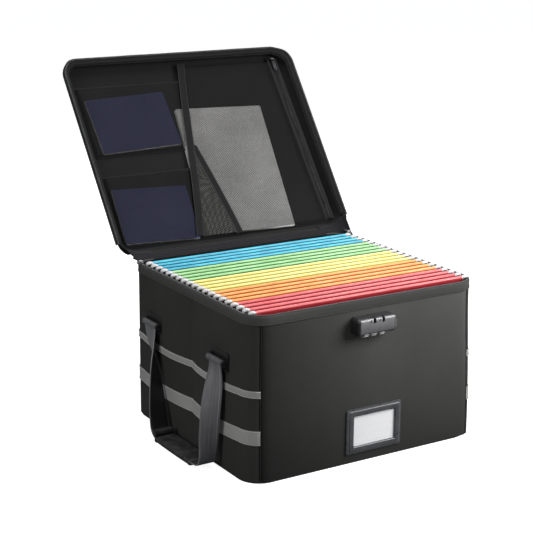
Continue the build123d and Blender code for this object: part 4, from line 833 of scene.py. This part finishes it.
# Binding, zip tape and teeth round three sides of the rim
run = [p for p in tray_ring(LID_RIM_LEVEL, 0.0, 8.0, 12) if p[1] > NOTCH_V + 1.0]
for name, profile, material, slot, nodes in (
    ("lid_binding_fold", ((-3.6, 1.6), (-3.5, 3.6), (-2.9, 4.7), (-1.6, 5.15), (-0.6, 5.15), (0.5, 4.8), (1.05, 3.8),
                          (1.2, 2.4), (1.05, 0.2), (0.5, -0.9), (-0.3, -1.2)),
     binding_tape, "binding", ["lid_rim_binding"]),
    ("lid_zip_tape", ((-10.5, -1.6), (-10.2, 1.0), (-9.2, 2.6), (-6.0, 3.6), (-3.4, 4.3)), zip_tape, "zip", ()),
    ("lid_tape_cord", circle(0.55, 6, (-10.6, -1.2), True), zip_cord, "zip", ()),
):
    rows = [[lid_point(x + ox * out, v + ov * out, level) for x, v, ox, ov in run] for out, level in profile]
    surface(name, rows, "lid", material, slot, nodes, flip=True)

pivot = lid_point(0, 0, 0)
inward = lid_point(0, 0, 1) - pivot
points = [lid_point(x - ox * 2.0, v - ov * 2.0, LID_RIM_LEVEL + 0.1) for x, v, ox, ov in run]
teeth("lid_zip_teeth", points, inward, [lid_point(ox, ov, 0) - pivot for _, _, ox, ov in run], 1.35, 1.6, "lid",
      zip_teeth, "lid_zip_chain")

# Hinge strip, under the lid's cut-away edge and up the outside of the lid, its bead, and the corner gussets
STRIP_HALF = 184.0
profile = ((0.0, -1.25), (0.9, -1.0), (1.3, -0.2), (1.0, 0.7), (3.0, -0.9), (6.0, -2.6), (9.5, -4.9), (12.3, -7.0),
           (13.4, -9.0), (15.9, -11.6), (18.8, -14.2))
rows = in_lid([[(x, v, n) for x in spaced(-STRIP_HALF, STRIP_HALF, 12.0)] for v, n in profile])
surface("hinge_strip_cloth", rows, "lid", hinge_cloth, "hinge_fabric", ["hinge_strip"], 0.8)
bead = tube([lid_point(x, 0.0, 0.0) for x in spaced(-BEAD_HALF, BEAD_HALF, 15.0)], BEAD_RADIUS, 10)
gathered("hinge_bead", [solid(bead)], "lid", hinge_cloth)
GUSSET_TOP = ((160.0, 16.0, -8.4), (166.0, 16.0, -8.4), (174.0, 16.2, -8.3), (182.0, 17.0, -8.0), (189.0, 18.5, -7.6),
              (195.0, 20.5, -7.0), (200.0, 23.0, -5.6), (205.0, 26.0, -3.0), (209.0, 28.0, 0.0), (212.0, 29.5, 2.4),
              (213.5, 31.0, 3.6), (214.0, 33.0, 3.8), (214.0, 35.0, 3.8))
for label, side in SIDES:
    foot = [(side * x, HALF_Y - 2.0) for x in (160.0, 163.0)] + corner_arc(side, 1, 0, 100, -2.0, 10)
    rows = []
    for share in (0.0, 0.2, 0.4, 0.6, 0.8, 1.0):
        sag = Vector((0, -1.2, -1.0)) * math.sin(math.pi * share)
        rows.append([Vector((*low, HEIGHT - 0.6)).lerp(lid_point(side * x, v, n), share) + sag
                     for low, (x, v, n) in zip(foot, GUSSET_TOP)])
    gusset = surface(f"hinge_gusset_{label}", rows, None, hinge_cloth, "hinge_fabric", thick=0.6)
    [c * MM for c in lid_point(0, 24.0, 0)]
    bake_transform(gusset)


# ---------------------------------------------------------------- pockets in the lid
def lining_limit(v, inset):
    """How far across the lining reaches at a place up the lid, on either side."""
    half, _, high, _ = (size - LINING_OFF - inset for size in lid_size(LINING_LEVEL))
    rise = min(LINING_CORNER, max(0.0, v - (high - LINING_CORNER)))
    return half - LINING_CORNER + math.sqrt(LINING_CORNER ** 2 - rise ** 2)


def seam_x(v):
    """Seam between the left pockets and the right pocket, hidden below the divider band."""
    return -18.5 + (v - 224.0) * (0.215 if v > 224.0 else 0.229)


def diagonal_x(v):
    """Edge of the corner net, below the diagonal band."""
    return -20.5 + (193.4 - v) * 0.185


def net_rows(low, high, left, right, depth, open_top, bumps=(), steps=26):
    """Rows of a net pocket stretched over what it holds: flat at its sewn edges and full in the middle."""
    rows = []
    for v in spaced(low, high, (high - low) / steps):
        a, b = left(v), right(v)
        row = []
        for x in spaced(a, b, (b - a) / 30):
            edge = min(x - a, b - x, v - low, 99.0 if open_top else high - v)
            rise = (1 - (1 - min(1.0, max(0.0, edge) / 7.0)) ** 4) ** 0.6
            full = depth + 0.5 * ripple(x * 0.03, v * 0.03, low)
            full += sum(more * bell(x - bx, wx) * bell(v - bv, wv) for bx, bv, wx, wv, more in bumps)
            row.append((x, v, LINING_LEVEL + NET_OFF + full * rise))
        rows.append(row)
    return rows


def net_sheet(name, rows, material, nodes):
    """A net in the lid, stretched over what lies behind it."""
    sheet = surface(name, in_lid(rows), "lid", material, "mesh", nodes)


TAPE_SECTION = ((-0.5, 0.0), (-0.48, 0.6), (-0.36, 1.0), (0.0, 1.1), (0.36, 1.0), (0.48, 0.6), (0.5, 0.0))


def edge_tape(line, width, level, lift):
    """Rows of a soft tape that follows a line of (x, v) points in the lid."""
    rows = [[] for _ in TAPE_SECTION]
    for i, (x, v) in enumerate(line):
        ax, av = line[max(0, i - 1)]
        bx, bv = line[min(len(line) - 1, i + 1)]
        size = math.hypot(bx - ax, bv - av) / width
        for row, (off, rise) in zip(rows, TAPE_SECTION):
            row.append((x + (bv - av) / size * off, v - (bx - ax) / size * off, level + rise * lift))
    return in_lid(rows)


def tapes(name, lines, material, nodes=()):
    """One piece from soft tapes, each as (line, offset across, width, level, lift)."""
    shells = [(edge_tape([(x + off, v) for x, v in line], *rest), {}) for line, off, *rest in lines]
    gathered(name, shells, "lid", material, nodes)


NET_FULL = 5.7
for name, low, high, nodes in (("lower", 24.5, 152.0, ["mesh_pockets_left"]), ("upper", 190.0, 318.0, ())):
    rows = net_rows(low, high, lambda v: -min(201.0, lining_limit(v, 0.6)), lambda v: seam_x(v) - 3.0, NET_FULL, True)
    net_sheet(f"net_pocket_{name}", rows, pocket_net, nodes)
    top = [(x, v) for x, v, _ in rows[-1]]
    tapes(f"net_hem_{name}", [(top, 0.0, 3.4, LINING_LEVEL + NET_FULL + 0.7, 0.5)], pocket_hem)
    foot = [(x, v + 1.0) for x, v, _ in rows[0]]
    tapes(f"net_foot_{name}", [(foot, 0.0, 3.0, LINING_LEVEL + 0.7, 0.4)], pocket_hem)

rows = net_rows(24.0, 350.5, lambda v: seam_x(v) + 1.5, lambda v: min(196.0, lining_limit(v, 1.5)), 6.6, False,
                ((47.5, 147.5, 90, 130, 0.5),), 48)
net_sheet("net_pocket_right", rows, pocket_net, ["mesh_pocket_right"])
head = [(x, v - 1.5) for x, v, _ in rows[-1]]
tapes("net_head_right", [(head, 0.0, 6.0, LINING_LEVEL + 1.2, 0.7)], band_tape)

# A second net fills the corner below the diagonal band
rows = []
for v in spaced(28.0, 190.0, 6.0):
    a = seam_x(v) + 5.0
    b = max(diagonal_x(v), a + 0.5)
    row = []
    for x in spaced(a, b, (b - a) / 10):
        rise = math.sin(min(1.0, min(x - a, b - x) / 12.0) * math.pi / 2)
        row.append((x, v, MESH_LEVEL + 0.35 + 0.9 * rise + 0.4 * ripple(x * 0.08, v * 0.05, 2.2)))
    rows.append(row)
net_sheet("net_corner", rows, corner_net, ())

# Elastic bands: the divider over the seam and the diagonal band below it
divider = [(seam_x(v) + 1.2 * math.sin((v - 30) / 50.0), v) for v in spaced(351.0, 30.0, 8.0)]
diagonal = [(diagonal_x(v) + 1.5 * math.sin((v - 21) / 172 * math.pi), v) for v in spaced(193.4, 26.0, 8.0)]
tapes("pocket_band_tapes", [(divider, 0.0, 13.5, MESH_LEVEL + 0.1, 1.2), (diagonal, 0.0, 12.0, MESH_LEVEL - 0.2, 1.1)],
      band_tape, ["pocket_bands"])
edges = [(diagonal, off, 1.6, MESH_LEVEL + 0.7, 0.6) for off in (-5.6, 5.6)]
edges += [(divider, off, 1.0, MESH_LEVEL + 0.5, 0.5) for off in (-6.2, 6.2)]
tapes("pocket_band_edges", edges, band_edge)

# Pocket zip: two tapes and a toothed chain between them
zip_line = [(192.0, v) for v in spaced(349.0, 30.0, 8.0)]
tapes("pocket_zip_tape", [(zip_line, off, 6.4, MESH_LEVEL - 0.3, 0.6) for off in (-5.2, 5.2)], zip_tape)
tapes("pocket_zip_edges", [(zip_line, off, 1.0, MESH_LEVEL - 0.2, 0.8) for off in (-8.2, 8.0)], zip_cord)
points = [lid_point(x, v, MESH_LEVEL + 0.1) for x, v in zip_line]
teeth("pocket_zip_teeth", points, inward, [Vector((1, 0, 0))] * len(points), 1.7, 1.3, "lid", black_teeth,
      "pocket_zip_chain")

# ---------------------------------------------------------------- papers
BOOK_LOW, BOOK_HIGH, BOOK_RADIUS = -15.5, -10.9, 3.5


def booklet(name, x, v, degrees, width, length, lean, cover, pages, step):
    """Two covers with rounded edges round a block of pages. lean slants the outline across."""
    c, s = math.cos(math.radians(degrees)), math.sin(math.radians(degrees))

    def slab(levels, less=0.0):
        """Rings of a flat slab: levels are (height, inset) pairs."""
        rows = []
        for n, inset in levels:
            outline = rounded(width - less - 2 * inset, length - less - 2 * inset, BOOK_RADIUS, 4)
            rows.append([(x + a * c - b * s + b * lean, v + a * s + b * c, n) for a, b in outline])
        return in_lid(rows)

    back = slab([(BOOK_LOW + off, inset) for off, inset in ((0.0, 0.5), (0.1, 0.0), (0.55, 0.0), (0.65, 0.4))])
    front = slab([(BOOK_HIGH - off, inset) for off, inset in ((0.65, 0.4), (0.55, 0.0), (0.12, 0.0), (0.0, 0.45))])
    gathered(name + "_cover", [solid(rows, flat=lid_flat) for rows in (back, front)], name, cover, [name])
    block = slab(((BOOK_LOW + 0.6, 0.0), (BOOK_HIGH - 0.6, 0.0)), step)
    gathered(name + "_pages", [solid(block)], name, pages)


booklet("booklet_upper", -112.7, 249.0, 2.3, 146.0, 101.0, 0.0, booklet_cover, page_edges, -0.3)
booklet("booklet_lower", -126.8, 79.0, -2.6, 134.0, 97.0, 0.0, booklet_cover, page_edges, -0.3)
booklet("notebook", 45.5, 146.4, -2.2, 167.0, 234.5, 0.03, notebook_cover, page_shade, 3.0)

# ---------------------------------------------------------------- hanging folders
ROD_FIRST, ROD_PITCH = -162.0, 308.0 / 19
SHEET_REACH = 184.0
FOLDER_FOOT = 12.3
FOLDER_COUNT = 10
HEM_SECTION = ((-0.55, HEM_LOW - 2.5), (-2.0, HEM_LOW + 0.4), (-2.35, HEM_LOW + 3.0), (-2.3, HEM_HIGH - 2.6),
               (-1.75, HEM_HIGH - 0.9), (-0.8, HEM_HIGH - 0.1), (0.8, HEM_HIGH - 0.1), (1.75, HEM_HIGH - 0.9),
               (2.3, HEM_HIGH - 2.6), (2.35, HEM_LOW + 3.0), (2.0, HEM_LOW + 0.4), (0.5, HEM_LOW - 2.5))
LEAF_OUTSIDE = ((-0.4, 242.0), (-0.5, 200.0), (-0.3, 110.0), (0.6, 40.0))
LEAF_INSIDE = ((0.3, 242.0), (0.3, 200.0), (0.5, 110.0), (1.4, 40.0))
HOOK = ((174.0, 248.6, 1.6, 1.4), (181.0, 249.0, 2.0, 1.8), (184.0, 250.0, 3.0, 2.7), (187.5, 250.8, 3.4, 2.7),
        (191.0, 250.5, 3.4, 2.5), (191.9, 249.4, 3.0, 2.2), (192.3, 248.0, 2.6, 1.5), (192.3, 246.8, 1.9, 0.7))


def leaf_line(front, rear, leaf, half, beside, below):
    """One face of a folder's leaf, from the front hem round its folded foot to the rear hem, as (y, z) pairs."""
    middle = (front + rear) / 2
    foot = [(middle - half, FOLDER_FOOT + beside), (middle, FOLDER_FOOT + below), (middle + half, FOLDER_FOOT + beside)]
    return [(front + a, z) for a, z in leaf] + foot + [(rear - a, z) for a, z in leaf[::-1]]


def hook_rows(y, side):
    """Rows of a moulded hook: a fat arm along the rod that narrows and turns down over the rail."""
    rows = []
    spine = [Vector((x, 0, z)) for x, z, _, _ in HOOK]
    for i, (_, _, wide, tall) in enumerate(HOOK):
        way = heading(spine, i)
        row = []
        for p, q in circle(1.0, 10):
            place = spine[i] + Vector((-way.z, 0, way.x)) * (q * tall)
            row.append(Vector((side * place.x, y + p * wide, place.z)))
        rows.append(row)
    return rows


for number in range(FOLDER_COUNT):
    key = list(FOLDER_COLOURS)[number // 2]
    front = ROD_FIRST + 2 * number * ROD_PITCH
    rear = front + ROD_PITCH
    parts = [[(y + a, z) for a, z in HEM_SECTION] for y in (front, rear)]
    parts.append(leaf_line(front, rear, LEAF_OUTSIDE, 1.5, 0.6, 0.0)
                 + leaf_line(front, rear, LEAF_INSIDE, 1.0, 1.6, 1.1)[::-1])
    shells = []
    for part in parts:
        middle = sum(y for y, _ in part) / len(part)
        rows = []
        for x in [-SHEET_REACH, -SHEET_REACH + 0.8] + spaced(-176.0, 176.0, 32.0) + [SHEET_REACH - 0.8, SHEET_REACH]:
            bow = 0.5 * ripple(x * 0.02, number * 3.3, 1.5)
            slim = 0.05 if abs(x) > SHEET_REACH - 0.4 else 0.0
            rows.append([Vector((x, y + bow + (middle - y) * slim, z)) for y, z in part])
        shells.append(solid(rows))
    body = f"folder_{number + 1:02d}"
    gathered(f"folder_leaf_{number + 1:02d}", shells, body, folder_stock[key], ["hanging_" + body])
    hooks = [solid(hook_rows(y, side), side < 0) for y in (front, rear) for side in (-1, 1)]
    gathered(f"folder_hooks_{number + 1:02d}", hooks, body, hook_plastic, sharp=60.0)

# ---------------------------------------------------------------- handles
WEBBING_THICK = 2.2
GRIP_OFF, GRIP_Z = 27.5, 10.0
GRIP_ENDS = (12.6, 42.4)
ROLL_Y, ROLL_Z = 31.5, 17.6
# Webbing from the front sleeve, along the grip, to the rear one: off the wall, y, z, degrees that its width is turned
# from Y towards outwards, and width
STRAP = (
    (11.6, -101.0, 172.0, 0, 32.0), (12.4, -101.0, 169.0, 0, 32.0), (12.8, -101.5, 164.0, 0, 32.0),
    (13.4, -103.0, 156.0, 4, 31.5), (15.4, -105.0, 145.0, 14, 31.0), (18.4, -107.0, 131.0, 26, 30.5),
    (22.0, -109.0, 115.0, 37, 30.0), (24.8, -110.0, 97.0, 48, 29.5), (26.4, -110.0, 78.0, 58, 29.0),
    (27.0, -109.0, 58.0, 70, 29.0), (27.0, -107.5, 40.0, 82, 29.0), (27.2, -106.5, 26.0, 90, 29.5),
    (27.5, -104.5, 17.5, 90, 30.0), (27.5, -99.0, 12.9, 90, 30.5), (27.5, -90.0, 11.3, 90, 31.0),
    (27.5, -60.0, 10.4, 90, 31.0), (27.5, -28.0, 10.0, 90, 31.0), (27.5, 4.0, 10.0, 90, 31.0),
    (27.5, 28.0, 10.4, 90, 30.5), (27.5, 37.0, 13.8, 90, 30.0), (27.5, 43.0, 21.0, 90, 30.0),
    (27.5, 46.0, 34.0, 90, 29.5), (27.3, 49.5, 54.0, 96, 29.0), (26.0, 54.5, 76.0, 108, 29.0),
    (23.6, 62.0, 96.0, 122, 29.0), (20.6, 71.0, 114.0, 138, 30.0), (17.2, 80.5, 130.0, 154, 31.0),
    (14.6, 89.5, 144.0, 168, 31.5), (13.2, 95.5, 156.0, 177, 32.0), (12.8, 98.0, 164.0, 180, 32.0),
    (12.4, 98.5, 169.0, 180, 32.0), (11.6, 98.5, 172.0, 180, 32.0),
)
# Grip, a thick sleeve folded round the webbing and rolled over at both ends: y, width and height
GRIP = (
    (-83.2, 30.0, 3.4), (-83.0, 33.5, 6.0), (-81.5, 35.4, 7.6), (-78.5, 36.0, 8.0), (-76.0, 35.6, 7.0),
    (-74.0, 35.6, 6.6), (-60.0, 36.0, 7.2), (-40.0, 36.0, 7.6), (-28.0, 36.0, 7.7), (-10.0, 36.0, 7.5),
    (8.0, 36.0, 7.1), (17.0, 35.6, 6.6), (19.5, 35.8, 7.2), (22.0, 36.2, 8.6), (25.0, 36.0, 8.6),
    (26.6, 34.4, 7.2), (27.2, 31.0, 4.0),
)


def smoothed(stations, steps=4):
    """Stations joined by a smooth curve through them."""
    last, result = len(stations) - 1, []
    for i in range(last):
        ends = [stations[max(0, min(last, i + k))] for k in (-1, 0, 1, 2)]
        for t in (step / steps for step in range(steps)):
            result.append([0.5 * (2 * b + (c - a) * t + (2 * a - 5 * b + 4 * c - d) * t * t
                                  + (3 * b - a - 3 * c + d) * t ** 3) for a, b, c, d in zip(*ends)])
    return result + [stations[-1]]


def strap_rows(side):
    """Thin, slightly cupped section carried along the strap."""
    frames = smoothed(STRAP)
    places = [Vector(f[:3]) for f in frames]
    shares = (-1.0, -0.92, -0.6, -0.2, 0.2, 0.6, 0.92, 1.0)
    section = [(share, 0.5) for share in shares] + [(share, -0.5) for share in shares[::-1]]
    rows = []
    for i, (place, (*_, degrees, width)) in enumerate(zip(places, frames)):
        turn, way = math.radians(degrees), heading(places, i)
        across = Vector((math.sin(turn), math.cos(turn), 0))
        across = unit(across - way * across.dot(way))
        face = unit(across.cross(way))
        cup = 0.9 * math.sin(2 * turn) ** 2
        row = []
        for share, rise in section:
            level = rise * WEBBING_THICK * (0.45 if abs(share) == 1.0 else 1.0) + cup * (share * share - 0.4)
            p = place + across * (share * width / 2) + face * level
            row.append(Vector((side * (HALF_X + p.x), p.y, p.z)))
        rows.append(row)
    return rows


def grip_rows(side):
    """Rings of the grip, crowned between its edges."""
    rows = []
    for y, width, height in GRIP:
        rows.append([Vector((side * (HALF_X + GRIP_OFF + a), y, GRIP_Z + b - 0.35 * math.cos(a / width * math.pi)))
                     for a, b in rounded(width, height, min(3.0, height / 2 - 0.1), 4)])
    return rows


for label, side in SIDES:
    body = f"handle_assembly_{label}"
    gathered(f"handle_strap_{label}", [solid(strap_rows(side), side > 0)], body, webbing,
             [f"handle_{label}"])
    roll = [Vector((side * (HALF_X + off), ROLL_Y, ROLL_Z)) for off in (12.6, 13.2, 20.0, 27.5, 35.0, 41.8, 42.4)]
    rolled = tube(roll, 5.6, 14)
    for end in (0, -1):
        rolled[end] = [Vector((p.x, ROLL_Y + (p.y - ROLL_Y) * 0.8, ROLL_Z + (p.z - ROLL_Z) * 0.8)) for p in rolled[end]]
    gathered(f"grip_wrap_{label}", [solid(grip_rows(side), side < 0), solid(rolled)], body, grip_skin,
             [f"handle_grip_{label}"])
    # Stitches along the grip's edges; their light thread also gives painted highlight lines there.
    stops = spaced(-74.0, 17.0, 4.0)
    seams = []
    for z in (6.6, 13.2):
        for a, b in zip(stops, stops[1:]):
            for x in (side * (HALF_X + off) for off in GRIP_ENDS):
                seams.append(solid(tube([Vector((x, a + 0.6, z)), Vector((x, b - 0.6, z))], 0.3, 5)))
    gathered(f"grip_stitching_{label}", seams, body, grip_thread_and_highlight)

# ---------------------------------------------------------------- label frame and lock details
LABEL_X, LABEL_Z = 11.0, 49.3
LOCK_Z = 212.5
BEZEL = (  # width, height, corner radius and how far forward
    (97.4, 69.4, 3.0, 0.1), (98.0, 70.0, 3.0, 0.5), (98.0, 70.0, 3.0, 1.9), (97.2, 69.2, 2.7, 2.5),
    (95.8, 67.8, 2.4, 2.6), (90.4, 62.6, 2.4, 2.65), (89.8, 62.0, 2.2, 2.9), (89.6, 61.8, 2.1, 3.9),
    (88.8, 61.0, 1.9, 4.35), (87.6, 59.8, 1.8, 4.4), (76.6, 49.6, 1.4, 4.4), (75.6, 48.6, 1.2, 4.3),
    (74.4, 47.4, 1.0, 3.6), (73.0, 46.0, 0.8, 2.3), (73.0, 46.0, 0.8, 2.0), (76.0, 49.0, 0.8, 1.9),
)


def on_front(x, z, outline, forward, size=1.0):
    """An outline on the front wall, some way forward of it."""
    return [Vector((x + a * size, -HALF_Y - forward, z + b * size)) for a, b in outline]


rows = [on_front(LABEL_X, LABEL_Z, rounded(*sizes, 4), forward) for *sizes, forward in BEZEL]
surface("label_bezel", rows, "box", label_plastic, "label_plastic", ["label_frame"], closed=True, flip=True)
for name, places, z, outline, levels in (
    ("lock_slot_stops", (-10.4, 5.0), LOCK_Z + 8.6, rounded(4.2, 3.0, 1.0, 3),
     ((19.4, 1.0), (20.3, 1.0), (20.9, 0.8), (21.2, 0.4))),
    ("lock_dial_marks", (-11.4, 2.6, 16.6), LOCK_Z - 10.6, rounded(3.4, 0.9, 0.4, 2),
     ((19.6, 1.0), (20.12, 1.0), (20.2, 0.85))),
):
    shells = [([on_front(x, z, outline, *level) for level in levels], {"closed": True, "caps": (-1,), "flip": True})
              for x in places]
    gathered(name, shells, "box", dial_plastic)

# ---------------------------------------------------------------- stage, lights and camera
# Pale floor that the camera sees as near white, but for the object's shadow
FLOOR_HALF, FLOOR_Z = 12.0, -0.0005
mesh = bpy.data.meshes.new("floor")
mesh.from_pydata([(x * FLOOR_HALF, y * FLOOR_HALF, FLOOR_Z) for x, y in ((-1, -1), (1, -1), (1, 1), (-1, 1))], [],
                 [(0, 1, 2, 3)])
floor = bpy.data.objects.new("floor", mesh)
bpy.context.collection.objects.link(floor)
s = Shader("floor")
seen = s.add("LightPath", output="Is Camera Ray")
pale = s.spread(seen, 0.0, 1.0, 0.14, 0.6)
mesh.materials.append(s.finish(Base_Color=s.add("CombineColor", {0: pale, 1: pale, 2: pale}), Roughness=0.9,
                               Specular_IOR_Level=0.0, Emission_Color=(1, 1, 1, 1),
                               Emission_Strength=s.times(seen, 0.91)))

world = bpy.data.worlds.new("studio")
bpy.context.scene.world = world
world.use_nodes = True
nodes = world.node_tree.nodes
ambient = nodes["Background"]
white, rays, either, mix = (nodes.new("ShaderNode" + kind) for kind in ("Background", "LightPath", "Math", "MixShader"))
for node, tint, strength in ((ambient, (0.93, 0.96, 1.0, 1), 0.15), (white, (1, 1, 1, 1), 1.0)):
    node.inputs["Color"].default_value = tint
    node.inputs["Strength"].default_value = strength
either.operation = "MAXIMUM"
for source, target in (
    (rays.outputs["Is Camera Ray"], either.inputs[0]),
    (rays.outputs["Is Transmission Ray"], either.inputs[1]),
    (either.outputs[0], mix.inputs[0]),
    (ambient.outputs[0], mix.inputs[1]),
    (white.outputs[0], mix.inputs[2]),
    (mix.outputs[0], nodes["World Output"].inputs[0]),
):
    world.node_tree.links.new(source, target)

# Rectangular studio lamps: name, place, aim, watts, width and height
for name, place, aim, power, width, height in (
    ("key_light", (0.85, -0.85, 0.80), (0.1, -0.15, 0.15), 24, 0.85, 0.85),
    ("top_light", (0.0, 0.3, 1.9), (0.0, 0.0, 0.25), 17, 1.3, 1.1),
    ("left_light", (-1.9, -0.55, 1.1), (-0.2, 0.0, 0.15), 17, 0.7, 0.9),
    ("rear_light", (0.9, 1.8, 1.3), (0.0, 0.2, 0.2), 17, 1.2, 1.0),
):
    lamp = bpy.data.lights.new(name, "AREA")
    lamp.shape = "RECTANGLE"
    lamp.size, lamp.size_y, lamp.energy = width, height, power
    obj = bpy.data.objects.new(name, lamp)
    bpy.context.collection.objects.link(obj)
    obj.location = place
    obj.rotation_euler = (Vector(aim) - Vector(place)).to_track_quat("-Z", "Y").to_euler()

# Camera fitted to the photo: its turn, its place in metres and its focal length in photo pixels
AZIMUTH, ELEVATION, ROLL = (math.radians(a) for a in (-31.892, 15.059, 0.466))
DISTANCE, TO_RIGHT, UPWARD = 2.22457, -0.05453, 0.25350
FOCAL_PIXELS, PHOTO_PIXELS, SENSOR = 1444.34, 533.0, 36.0
back = Vector((math.sin(AZIMUTH) * math.cos(ELEVATION), -math.cos(AZIMUTH) * math.cos(ELEVATION), math.sin(ELEVATION)))
right = Vector((math.cos(AZIMUTH), math.sin(AZIMUTH), 0))
above = back.cross(right)
turn = Matrix((right * math.cos(ROLL) + above * math.sin(ROLL), above * math.cos(ROLL) - right * math.sin(ROLL), back))
camera = bpy.data.objects.new("camera", bpy.data.cameras.new("camera"))
bpy.context.collection.objects.link(camera)
camera.data.sensor_width = SENSOR
camera.data.lens = SENSOR * FOCAL_PIXELS / PHOTO_PIXELS
camera.data.clip_end = 50
place = back * DISTANCE + right * TO_RIGHT + UP * UPWARD
camera.matrix_world = Matrix.Translation(place) @ turn.transposed().to_4x4()
bpy.context.scene.camera = camera
bpy.context.scene.view_settings.view_transform = "Standard"
